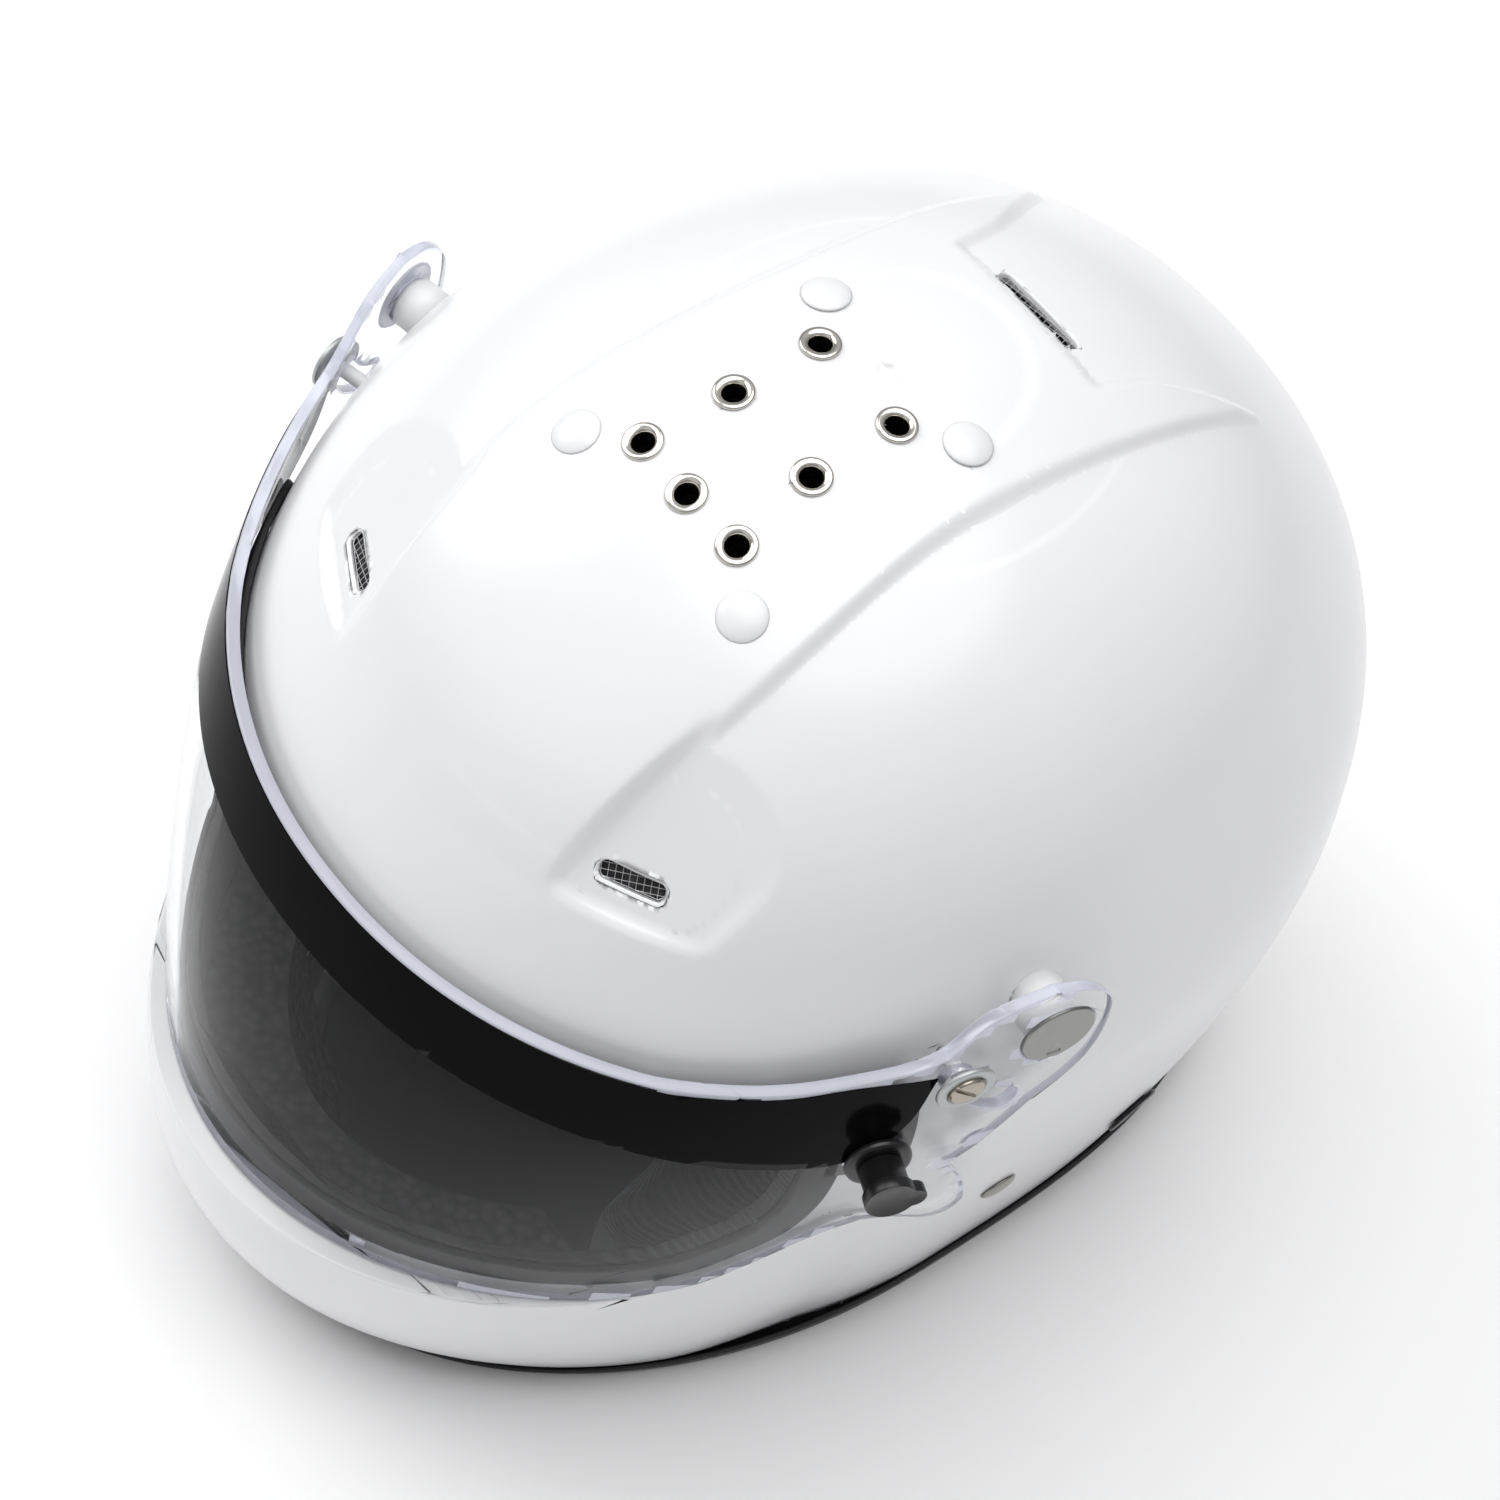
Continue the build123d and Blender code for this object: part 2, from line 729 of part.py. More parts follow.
def guide_washer(side):
    with BuildPart() as body:
        add(spot(guide_planes[side], washer_radius, washer_lift, washer_lift + washer_thickness))
        add(spot(guide_planes[side], shank_radius + turn_gap, 0, washer_lift + washer_thickness * 2),
            mode=Mode.SUBTRACT)
    return body.part


post_seat = form(shell_size(fit_gap + seat_gap, -band_rise), skin_low, skin_high)

with BuildPart() as pivot_disc_left:
    add(pivot_disc(1))
pivot_disc_left.part.label = "pivot_disc_left"
export_step(pivot_disc_left.part, "parts/pivot_disc_left.step")

with BuildPart() as pivot_disc_right:
    add(pivot_disc(-1))
pivot_disc_right.part.label = "pivot_disc_right"
export_step(pivot_disc_right.part, "parts/pivot_disc_right.step")

with BuildPart() as pivot_post_left:
    add(pivot_post(1))
pivot_post_left.part.label = "pivot_post_left"
export_step(pivot_post_left.part, "parts/pivot_post_left.step")

with BuildPart() as pivot_post_right:
    add(pivot_post(-1))
pivot_post_right.part.label = "pivot_post_right"
export_step(pivot_post_right.part, "parts/pivot_post_right.step")

with BuildPart() as guide_screw_left:
    add(guide_screw(1))
guide_screw_left.part.label = "guide_screw_left"
export_step(guide_screw_left.part, "parts/guide_screw_left.step")

with BuildPart() as guide_screw_right:
    add(guide_screw(-1))
guide_screw_right.part.label = "guide_screw_right"
export_step(guide_screw_right.part, "parts/guide_screw_right.step")

with BuildPart() as guide_washer_left:
    add(guide_washer(1))
guide_washer_left.part.label = "guide_washer_left"
export_step(guide_washer_left.part, "parts/guide_washer_left.step")

with BuildPart() as guide_washer_right:
    add(guide_washer(-1))
guide_washer_right.part.label = "guide_washer_right"
export_step(guide_washer_right.part, "parts/guide_washer_right.step")

with BuildPart() as pivot_nuts:
    for side in (1, -1):
        add(axle(side, nut_radius, nut_inner_x, nut_flange_x))
        add(axle(side, nut_stub_radius, nut_inner_x, nut_stub_x))
pivot_nuts.part.label = "pivot_nuts"
export_step(pivot_nuts.part, "parts/pivot_nuts.step")

with BuildPart() as guide_inserts:
    for side in (1, -1):
        add(spot(guide_planes[side], insert_radius, -insert_start, -insert_end))
        add(spot(guide_planes[side], insert_flange_radius, -insert_flange_start, -insert_flange_end))
        add(spot(guide_planes[side], shank_radius + turn_gap, -shank_end - fit_gap, 0), mode=Mode.SUBTRACT)
guide_inserts.part.label = "guide_inserts"
export_step(guide_inserts.part, "parts/guide_inserts.step")

# Latch pieces, stacked along the knob's axis
with BuildPart() as latch_flange:
    add(spot(latch_plane, flange_radius, flange_seat, flange_height))
    add(spot(latch_plane, barrel_radius, -barrel_start, barrel_end))
    add(spot(latch_plane, barrel_bore, -barrel_start - fit_gap, barrel_end - barrel_cap), mode=Mode.SUBTRACT)
    add(spot(latch_plane, pin_radius + turn_gap, 0, barrel_end * 2), mode=Mode.SUBTRACT)
latch_flange.part.label = "latch_flange"
export_step(latch_flange.part, "parts/latch_flange.step")

with BuildPart() as latch_knob:
    add(spot(latch_plane, knob_sleeve_radius, flange_height + fit_gap, knob_neck))
    with BuildSketch(latch_plane.offset(knob_neck)):
        Circle(knob_head_radius)
        with Locations(around((0, 0), knob_lobe_offset, knob_lobe_angle)):
            Circle(knob_lobe_radius)
    extrude(amount=knob_face - knob_neck)
    add(spot(latch_plane, barrel_radius + turn_gap, 0, barrel_end + fit_gap), mode=Mode.SUBTRACT)
    add(spot(latch_plane, pin_radius + turn_gap, 0, pin_end + touch_gap), mode=Mode.SUBTRACT)
    add(spot(latch_plane, knob_recess_radius, knob_face - knob_recess_depth, knob_face * 2),
        mode=Mode.SUBTRACT)
latch_knob.part.label = "latch_knob"
export_step(latch_knob.part, "parts/latch_knob.step")

with BuildPart() as latch_pin:
    add(spot(latch_plane, pin_radius, -pin_nose, pin_end))
    add(spot(latch_plane, pin_collar_radius, -collar_start, -collar_end))
latch_pin.part.label = "latch_pin"
export_step(latch_pin.part, "parts/latch_pin.step")

spring_start = -collar_end + spring_wire + seat_gap
spring_height = barrel_end - barrel_cap - spring_wire - seat_gap - spring_start
with BuildPart() as latch_spring:
    with BuildLine() as coil:
        Helix(spring_height / spring_turns, spring_height, spring_radius,
              center=latch_plane.offset(spring_start).origin, direction=latch_plane.z_dir)
    with BuildSketch(Plane(origin=coil.line @ 0, z_dir=coil.line % 0)):
        Circle(spring_wire)
    sweep(path=coil.line)
latch_spring.part.label = "latch_spring"
export_step(latch_spring.part, "parts/latch_spring.step")

# Crown fittings
with BuildPart() as crown_eyelets:
    for plane in eyelet_planes:
        add(spot(plane, eyelet_flange_radius, seat_gap, eyelet_flange_height))
        add(spot(plane, eyelet_tube_radius, -eyelet_depth, eyelet_flange_height))
        add(spot(plane, eyelet_bore_radius, -eyelet_reach, eyelet_reach), mode=Mode.SUBTRACT)
crown_eyelets.part.label = "crown_eyelets"
export_step(crown_eyelets.part, "parts/crown_eyelets.step")

plug_rise = plug_height - seat_gap
plug_dome = (plug_radius**2 + plug_rise**2) / (2 * plug_rise)
with BuildPart() as duct_plugs:
    for plane in plug_planes:
        with BuildSketch(Plane(plane.origin, x_dir=plane.x_dir, z_dir=-plane.y_dir)):
            with BuildLine():
                Line((0, seat_gap), (plug_radius, seat_gap))
                RadiusArc((plug_radius, seat_gap), (0, plug_height), -plug_dome)
                Line((0, plug_height), (0, seat_gap))
            make_face()
        revolve(axis=Axis(plane.origin, plane.z_dir))
        add(spot(plane, plug_stem_radius, -plug_depth, seat_gap))
duct_plugs.part.label = "duct_plugs"
export_step(duct_plugs.part, "parts/duct_plugs.step")

with BuildPart() as front_vent_mesh_left:
    add(slot_block(1, slot_half * 2 - touch_gap, slot_height - touch_gap, mesh_inset + mesh_thickness,
                   -mesh_inset))
front_vent_mesh_left.part.label = "front_vent_mesh_left"
export_step(front_vent_mesh_left.part, "parts/front_vent_mesh_left.step")

with BuildPart() as front_vent_mesh_right:
    add(slot_block(-1, slot_half * 2 - touch_gap, slot_height - touch_gap, mesh_inset + mesh_thickness,
                   -mesh_inset))
front_vent_mesh_right.part.label = "front_vent_mesh_right"
export_step(front_vent_mesh_right.part, "parts/front_vent_mesh_right.step")

rear_mesh_top = surface_z(0, rear_slot_y, shell_size(0, -band_rise)) - mesh_inset
with BuildPart() as rear_vent_mesh:
    add(rear_slot_block(rear_slot_half - touch_gap / 2, slot_height - touch_gap,
                        rear_mesh_top - mesh_thickness, rear_mesh_top))
rear_vent_mesh.part.label = "rear_vent_mesh"
export_step(rear_vent_mesh.part, "parts/rear_vent_mesh.step")

# Straps and their fittings
rivet_rise = rivet_height - seat_gap
rivet_dome = (rivet_radius**2 + rivet_rise**2) / (2 * rivet_rise)
with BuildPart() as chin_strap_rivets:
    for plane in rivet_planes.values():
        with BuildSketch(Plane(plane.origin, x_dir=plane.x_dir, z_dir=-plane.y_dir)):
            with BuildLine():
                Line((0, seat_gap), (rivet_radius, seat_gap))
                RadiusArc((rivet_radius, seat_gap), (0, rivet_height), -rivet_dome)
                Line((0, rivet_height), (0, seat_gap))
            make_face()
        revolve(axis=Axis(plane.origin, plane.z_dir))
        add(spot(plane, rivet_shank_radius, -rivet_inner, seat_gap))
chin_strap_rivets.part.label = "chin_strap_rivets"
export_step(chin_strap_rivets.part, "parts/chin_strap_rivets.step")

with BuildPart() as strap_plates:
    for side in (1, -1):
        near, far = sorted((side * half_width / 2, side * half_width))
        add(block((near, rivet[0] - plate_half, rivet[1] - plate_half),
                  (far, rivet[0] + plate_half, rivet[1] + plate_half)))
    add(form(shell_size(-plate_outer), skin_low, skin_high), mode=Mode.INTERSECT)
    add(form(shell_size(-plate_outer - plate_thickness), cut_low, cut_high), mode=Mode.SUBTRACT)
    for side in (1, -1):
        add(spot(rivet_planes[side], rivet_shank_radius + turn_gap, -anchor_depth, 0), mode=Mode.SUBTRACT)
strap_plates.part.label = "strap_plates"
export_step(strap_plates.part, "parts/strap_plates.step")

strap_heights = [strap_top, 69.6, 57.2, 44.8, 32.4, strap_turn_height]
wall_path = [(surface_x(rivet[0], z, shell_size(strap_outer_grow)), z) for z in strap_heights]
turn_x = wall_path[-1][0]


def strap(side, end, looped):
    """Webbing down the shell's wall from its rivet and inward over the rim."""
    outside = wall_path + [(turn_x - strap_low * inward, strap_low * up) for inward, up in strap_turn_shares]
    inside = inset(outside, -strap_thickness)
    with BuildPart() as body:
        with BuildSketch(Plane.XZ.offset(-rivet[0])):
            with BuildLine():
                Spline(*[(side * x, z) for x, z in outside])
                Polyline((side * outside[-1][0], outside[-1][1]), (side * end, strap_low),
                         (side * end, strap_low + strap_thickness), (side * inside[-1][0], inside[-1][1]))
                Spline(*[(side * x, z) for x, z in reversed(inside)])
                Line((side * inside[0][0], inside[0][1]), (side * outside[0][0], outside[0][1]))
            make_face()
            if looped:
                with Locations((side * end, strap_low + strap_thickness / 2)):
                    Circle(loop_radius)
                    Circle(loop_bore, mode=Mode.SUBTRACT)
        extrude(amount=strap_half, both=True)
        add(spot(rivet_planes[side], rivet_shank_radius + touch_gap, -anchor_depth, 0), mode=Mode.SUBTRACT)
    return body.part


with BuildPart() as chin_strap_left:
    add(strap(1, strap_left_end, True))
chin_strap_left.part.label = "chin_strap_left"
export_step(chin_strap_left.part, "parts/chin_strap_left.step")

with BuildPart() as chin_strap_right:
    add(strap(-1, strap_right_end, False))
chin_strap_right.part.label = "chin_strap_right"
export_step(chin_strap_right.part, "parts/chin_strap_right.step")

ring_centre = (strap_left_end, strap_low + strap_thickness / 2)


def d_ring(height):
    """Flat D-shaped ring, its straight bar through the strap's loop."""
    floor = ring_centre[1] + height - ring_wire
    with BuildPart() as body:
        with BuildSketch(Plane(origin=(ring_centre[0], rivet[0], floor))):
            with BuildLine():
                Polyline((-ring_arm, -ring_half), (ring_wire, -ring_half), (ring_wire, ring_half),
                         (-ring_arm, ring_half))
                ThreePointArc((-ring_arm, ring_half), (-ring_reach, 0), (-ring_arm, -ring_half))
            make_face()
            with BuildLine():
                Polyline((-ring_arm, -ring_inner), (-ring_wire, -ring_inner), (-ring_wire, ring_inner),
                         (-ring_arm, ring_inner))
                ThreePointArc((-ring_arm, ring_inner), (ring_wire * 2 - ring_reach, 0),
                              (-ring_arm, -ring_inner))
            make_face(mode=Mode.SUBTRACT)
        extrude(amount=ring_wire * 2)
    return body.part


with BuildPart() as d_ring_inner:
    add(d_ring(ring_lift))
d_ring_inner.part.label = "d_ring_inner"
export_step(d_ring_inner.part, "parts/d_ring_inner.step")

with BuildPart() as d_ring_outer:
    add(d_ring(-ring_lift))
d_ring_outer.part.label = "d_ring_outer"
export_step(d_ring_outer.part, "parts/d_ring_outer.step")

with BuildPart() as restraint_anchors:
    for side in (1, -1):
        add(spot(anchor_planes[side], anchor_flange_radius, seat_gap, anchor_flange_height))
        add(spot(anchor_planes[side], anchor_tube_radius, -anchor_depth, anchor_flange_height))
        add(spot(anchor_planes[side], anchor_bore_radius, -anchor_bore_depth, anchor_depth),
            mode=Mode.SUBTRACT)
restraint_anchors.part.label = "restraint_anchors"
export_step(restraint_anchors.part, "parts/restraint_anchors.step")

# Padding
foam_rear = cheek_rear + fit_gap * 2
foam_points = [(before_face, foam_port), (foam_port_y, foam_port), (foam_port_y, foam_cheek),
               (foam_rear, foam_cheek), (foam_rear, foam_low), (-before_face, foam_low)]


def side_region(points, sky=None):
    """Side-view region of a polygon, closed over the crown where a height is given."""
    closing = [(points[-1][0], sky), (points[0][0], sky)] if sky else []
    with BuildSketch() as region:
        with BuildLine():
            Polyline(*points, *closing, close=True)
        make_face()
    return region.sketch


foam_region = side_region(foam_points, shell_height * 2)
with BuildPart() as crown_foam:
    add(form(shell_size(foam_outer_grow, -band_rise), cut_low))
    add(form(head_size(liner_thickness + fit_gap * 2), 0), mode=Mode.SUBTRACT)
    add(prism(foam_region), mode=Mode.INTERSECT)
    for side in (1, -1):
        add(axle(side, nut_radius + fit_gap, nut_inner_x - fit_gap, half_width), mode=Mode.SUBTRACT)
        add(spot(guide_planes[side], insert_flange_radius + fit_gap, -insert_start - fit_gap, 0),
            mode=Mode.SUBTRACT)
    for plane in eyelet_planes:
        add(spot(plane, eyelet_tube_radius + fit_gap, -foam_hole_depth, 0), mode=Mode.SUBTRACT)
crown_foam.part.label = "crown_foam"
export_step(crown_foam.part, "parts/crown_foam.step")

liner_cut = block((-half_width, -half_width * 2, 0),
                  (half_width, foam_port_y - foam_liner_step, brow_high + fit_gap))
with BuildPart() as comfort_liner:
    add(form(head_size(liner_thickness), cut_low))
    add(form(head_size(0), 0), mode=Mode.SUBTRACT)
    add(prism(foam_region), mode=Mode.INTERSECT)
    add(liner_cut, mode=Mode.SUBTRACT)
comfort_liner.part.label = "comfort_liner"
export_step(comfort_liner.part, "parts/comfort_liner.step")

with BuildPart() as brow_pad:
    add(form(head_size(liner_thickness), brow_low, brow_high))
    add(form(head_size(0), brow_low - shell_wall, brow_high + shell_wall), mode=Mode.SUBTRACT)
    add(block((-half_width, -half_width * 2, brow_low),
              (half_width, foam_port_y - foam_liner_step - fit_gap, brow_high)), mode=Mode.INTERSECT)
brow_pad.part.label = "brow_pad"
export_step(brow_pad.part, "parts/brow_pad.step")

cheek_region = side_region(cheek_points)
pad_skin = form(shell_size(pad_outer_grow), cheek_low, cheek_high) - form(head_size(0), 0, side_belly)


def cheek_pad(side):
    near, far = sorted((side * cheek_middle_x, side * half_width))
    return pad_skin & prism(cheek_region, near, far)


with BuildPart() as cheek_pad_left:
    add(cheek_pad(1))
cheek_pad_left.part.label = "cheek_pad_left"
export_step(cheek_pad_left.part, "parts/cheek_pad_left.step")

with BuildPart() as cheek_pad_right:
    add(cheek_pad(-1))
cheek_pad_right.part.label = "cheek_pad_right"
export_step(cheek_pad_right.part, "parts/cheek_pad_right.step")

chin_inside = form(shell_size(foam_outer_grow), chin_foam_low, chin_foam_high)
chin_hollow = form(shell_size(foam_outer_grow - chin_foam_depth), 0, side_belly)
with BuildPart() as chin_foam:
    add(chin_inside)
    add(chin_hollow, mode=Mode.SUBTRACT)
    add(block((-chin_foam_half, -half_width * 2, chin_foam_low),
              (chin_foam_half, chin_foam_rear, chin_foam_high)), mode=Mode.INTERSECT)
chin_foam.part.label = "chin_foam"
export_step(chin_foam.part, "parts/chin_foam.step")

with BuildPart() as neck_roll:
    add(form(shell_size(foam_outer_grow), neck_low, neck_high))
    add(form(shell_size(foam_outer_grow - neck_depth), 0, neck_high + shell_wall), mode=Mode.SUBTRACT)
    add(block((-half_width, neck_front, neck_low), (half_width, half_width * 2, neck_high)),
        mode=Mode.INTERSECT)
    for plane in anchor_planes.values():
        add(spot(plane, anchor_tube_radius + fit_gap, -anchor_depth - fit_gap, 0), mode=Mode.SUBTRACT)
neck_roll.part.label = "neck_roll"
export_step(neck_roll.part, "parts/neck_roll.step")
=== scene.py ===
# %% [markdown]
# # An auto racing helmet
# A closed helmet is a thin, glossy composite shell with foam and padding inside it, and a clear
# shield that turns on two pivots. The imported model gives every piece its place and its joint.
# This lesson dresses that frame: finer shapes where gloss shows every facet, and a worked finish
# on each piece.

# %% Load the frame
import math
import bmesh
import bpy
import numpy as np
from mathutils import Matrix, Vector


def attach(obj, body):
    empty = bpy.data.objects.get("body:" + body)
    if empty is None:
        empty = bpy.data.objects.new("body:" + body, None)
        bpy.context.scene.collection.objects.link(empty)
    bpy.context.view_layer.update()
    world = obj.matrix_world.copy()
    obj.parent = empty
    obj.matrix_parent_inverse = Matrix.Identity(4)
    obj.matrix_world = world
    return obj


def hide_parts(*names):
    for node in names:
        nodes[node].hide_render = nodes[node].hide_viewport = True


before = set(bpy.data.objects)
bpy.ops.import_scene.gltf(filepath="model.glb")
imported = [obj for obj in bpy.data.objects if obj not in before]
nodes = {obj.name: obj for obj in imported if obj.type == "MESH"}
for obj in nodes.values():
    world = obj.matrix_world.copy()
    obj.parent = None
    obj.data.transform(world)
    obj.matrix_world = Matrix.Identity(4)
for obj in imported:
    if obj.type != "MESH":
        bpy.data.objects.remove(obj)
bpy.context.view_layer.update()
scene = bpy.context.scene

# %% [markdown]
# ## The form of the shell
# Seen from above, every level of a helmet is a rounded box: nearly an ellipse, a little squarer at
# the back. So one short formula holds the whole shell. It gives how far the level reaches forward,
# back and sideways, and how square its corners are. Each skin of the helmet, such as the shield or
# the rubber round the eye port, is the same form grown by a few millimetres. That keeps every gap
# between them even, which no amount of hand modelling would.

# %% The form, in millimetres
FRONT, REAR, SIDE, TOP = 157.2, 153.7, 126.0, 266.0
CROWN_Y, CHIN_PROUD, BAND_RISE, RIM = 7.1, 10.7, 2.0, 1.6
FRONT_FULL, REAR_FULL, SIDE_FULL = 59.0, 109.0, 147.7


def falloff(part, power):
    return (1 - np.clip(part, 0, 1) ** power) ** (1 / power)


def reaches(z, grow=0.0, lift=0.0, proud=0.0, upright=False):
    """Reach forward, reach back and half width of the level at height z."""
    top = TOP + grow + lift
    front = FRONT + grow + proud - 31.0 * (np.clip(FRONT_FULL - z, 0, None) / FRONT_FULL) ** 2
    front = front * (1 if proud else falloff((z - FRONT_FULL) / (top - FRONT_FULL), 2.18))
    rear = REAR + grow - 12.9 * (np.clip(REAR_FULL - z, 0, None) / REAR_FULL) ** 2.4
    rear = rear * falloff((z - REAR_FULL) / (top - REAR_FULL), 2.4)
    side = SIDE + grow - 30.6 * (np.clip(SIDE_FULL - z, 0, None) / SIDE_FULL) ** 1.22
    side = side * (1 if upright else falloff((z - SIDE_FULL) / (top - SIDE_FULL), 2.18))
    return front, rear, side


def squareness(z, ahead, proud=0.0):
    low = np.clip((SIDE_FULL - z) / SIDE_FULL, 0, 1)
    front = 2.04 + 0 * low if proud else 2.07 - 0.22 * low
    return np.where(ahead >= 0, front, 2.12 + 0.98 * low)


def on_form(turn, z, **size):
    """Points of the form: turn is the angle from the front, z the height."""
    front, rear, side = reaches(z, **size)
    ahead, across = np.cos(turn), np.sin(turn)
    power = squareness(z, ahead, size.get("proud", 0.0))
    reach = (np.abs(ahead) ** power + np.abs(across) ** power) ** (-1 / power)
    depth = np.where(ahead >= 0, front, rear)
    return np.stack([side * across * reach, CROWN_Y - depth * ahead * reach, z + 0 * turn], axis=-1)


def level(points, **size):
    """Below zero inside the form, zero on it."""
    x, y, z = points[:, 0], points[:, 1], points[:, 2]
    front, rear, side = (np.maximum(r, 1e-3) for r in reaches(z, **size))
    ahead = CROWN_Y - y
    power = squareness(z, ahead, size.get("proud", 0.0))
    depth = np.where(ahead >= 0, front, rear)
    return (np.abs(x) / side) ** power + (np.abs(ahead) / depth) ** power - 1


def form_normals(points, **size):
    """Outward normals of the form and the distance of each point from it."""
    step = 0.4
    slope = np.stack([level(points + step * axis, **size) - level(points - step * axis, **size)
                      for axis in np.eye(3)], axis=-1) / (2 * step)
    steep = np.maximum(np.linalg.norm(slope, axis=1), 1e-9)
    return slope / steep[:, None], level(points, **size) / steep


def half_width(y, z, **size):
    front, rear, side = reaches(np.float64(z), **size)
    ahead = CROWN_Y - y
    power = squareness(np.float64(z), ahead, size.get("proud", 0.0))
    return float(side * falloff(abs(ahead) / (front if ahead >= 0 else rear), power))


print("half width at the pivots:", round(half_width(-26.3, 186.6), 1), "mm")

# %% [markdown]
# Round fittings sit square on the shell, each on its own plane. The plane's normal comes from how
# the form rises and falls on both sides of the spot, as a washer finds its seat on a curved panel.

# %% Planes on the shell


def plane(origin, normal, along):
    """Matrix with its z axis on the normal and its x axis along a direction."""
    z = Vector(normal).normalized()
    x = (Vector(along) - z * Vector(along).dot(z)).normalized()
    return Matrix.Translation(origin) @ Matrix([x, z.cross(x), z]).transposed().to_4x4()


SEAT = 3.5


def side_plane(y, z, side, lean=None, **size):
    slope_y = (half_width(y + SEAT, z, **size) - half_width(y - SEAT, z, **size)) / (2 * SEAT)
    slope_z = (half_width(y, z + SEAT, **size) - half_width(y, z - SEAT, **size)) / (2 * SEAT)
    if lean is not None:
        slope_y, slope_z = math.tan(math.radians(lean)), 0.0
    spot = (side * half_width(y, z, **size), y, z)
    return plane(spot, (side, -slope_y, -slope_z), (slope_z * side, 0, 1))


def height_over(x, y, **size):
    low, high = REAR_FULL, TOP + size.get("grow", 0.0) + size.get("lift", 0.0)
    for _ in range(24):
        middle = (low + high) / 2
        low, high = (middle, high) if half_width(y, middle, **size) > abs(x) else (low, middle)
    return low


def crown_plane(x, y):
    slope_x = (height_over(x + SEAT, y) - height_over(x - SEAT, y)) / (2 * SEAT)
    slope_y = (height_over(x, y + SEAT) - height_over(x, y - SEAT)) / (2 * SEAT)
    return plane((x, y, height_over(x, y)), (-slope_x, -slope_y, 1), (1, 0, 0))


PIVOT = (-26.3, 186.6)
GUIDE_REACH, GUIDE_TURN, SLOT_END = 23.5, 205, 247
STRAP_Y, STRAP_Z, LOOP_X = 0.9, 9.4, 62.0
SHIELD, SHIELD_BACK = {"grow": 5.6, "upright": True}, {"grow": 2.6, "upright": True}


def round_pivot(reach, degrees):
    turn = math.radians(degrees)
    return PIVOT[0] + reach * math.cos(turn), PIVOT[1] + reach * math.sin(turn)


GUIDE = round_pivot(GUIDE_REACH, GUIDE_TURN)
pivot_planes = [side_plane(*PIVOT, side, **SHIELD) for side in (1, -1)]
guide_planes = [side_plane(*GUIDE, side, lean=15.0, **SHIELD) for side in (1, -1)]
anchor_planes = [side_plane(66.0, 38.0, side) for side in (1, -1)]
rivet_planes = [side_plane(STRAP_Y, 72.2, side) for side in (1, -1)]
latch_plane = side_plane(-62.9, 151.1, 1, **SHIELD)
print("latch on the shield at", [round(v, 1) for v in latch_plane.translation])

# %% [markdown]
# ## Helpers for the shapes
# Everything below is modelled in millimetres, which are easier to read for a helmet, and turned to
# metres as it becomes an object. The helpers are the few moves this object needs: map a sphere on
# the form, extrude an outline, turn a profile on a lathe, and cut one solid with another.

# %% Shape helpers


def coordinates(shape):
    """Points of a shape, or of a piece's mesh."""
    verts = shape.verts if isinstance(shape, bmesh.types.BMesh) else shape.data.vertices
    return np.array([vert.co for vert in verts])


def place(shape, points):
    for vert, point in zip(shape.verts, points):
        vert.co = point


def skin(outside, inside, low, columns=192, rows=144, fine_over=None):
    """Closed double wall: a sphere's upper half on one form, its lower half folded up on another."""
    shape = bmesh.new()
    bmesh.ops.create_uvsphere(shape, u_segments=columns, v_segments=rows, radius=1)
    if fine_over:
        crown = [edge for edge in shape.edges if min(vert.co.z for vert in edge.verts) > fine_over]
        bmesh.ops.subdivide_edges(shape, edges=crown, cuts=2, use_grid_fill=True)
        for vert in shape.verts:
            vert.co.normalize()
    points = coordinates(shape)
    turn = np.arctan2(points[:, 0], -points[:, 1])
    rise = np.abs(points[:, 2])
    tops = [TOP + size.get("grow", 0.0) + size.get("lift", 0.0) for size in (outside, inside)]
    outer = on_form(turn, low + (tops[0] - low) * rise, **outside)
    inner = on_form(turn, low + (tops[1] - low) * rise, **inside)
    place(shape, np.where(points[:, 2:3] > -1e-6, outer, inner))
    return shape


def curve_through(points, steps=8):
    """Smooth run through points, ends included. Spacing follows the root of each chord."""
    points = [np.array(point, dtype=float) for point in points]
    ends = [2 * points[0] - points[1]] + points + [2 * points[-1] - points[-2]]
    run = []
    for p, q, r, s in zip(ends, ends[1:], ends[2:], ends[3:]):
        t0 = 0.0
        t1 = t0 + np.linalg.norm(q - p) ** 0.5
        t2 = t1 + np.linalg.norm(r - q) ** 0.5
        t3 = t2 + np.linalg.norm(s - r) ** 0.5
        for step in range(steps):
            t = t1 + (t2 - t1) * step / steps
            a = (p * (t1 - t) + q * (t - t0)) / (t1 - t0)
            b = (q * (t2 - t) + r * (t - t1)) / (t2 - t1)
            c = (r * (t3 - t) + s * (t - t2)) / (t3 - t2)
            d = (a * (t2 - t) + b * (t - t0)) / (t2 - t0)
            e = (b * (t3 - t) + c * (t - t1)) / (t3 - t1)
            run.append(tuple((d * (t2 - t) + e * (t - t1)) / (t2 - t1)))
    return run + [tuple(points[-1])]


def prism(outline, reach):
    """Solid between an outline and its copy moved by a reach."""
    shape = bmesh.new()
    face = shape.faces.new([shape.verts.new(point) for point in outline])
    swept = bmesh.ops.extrude_face_region(shape, geom=[face])["geom"]
    bmesh.ops.translate(shape, vec=reach, verts=[g for g in swept if isinstance(g, bmesh.types.BMVert)])
    bmesh.ops.recalc_face_normals(shape, faces=shape.faces)
    return shape


def side_prism(outline, near=-150.0, far=150.0):
    return prism([(near, y, z) for y, z in outline], (far - near, 0, 0))


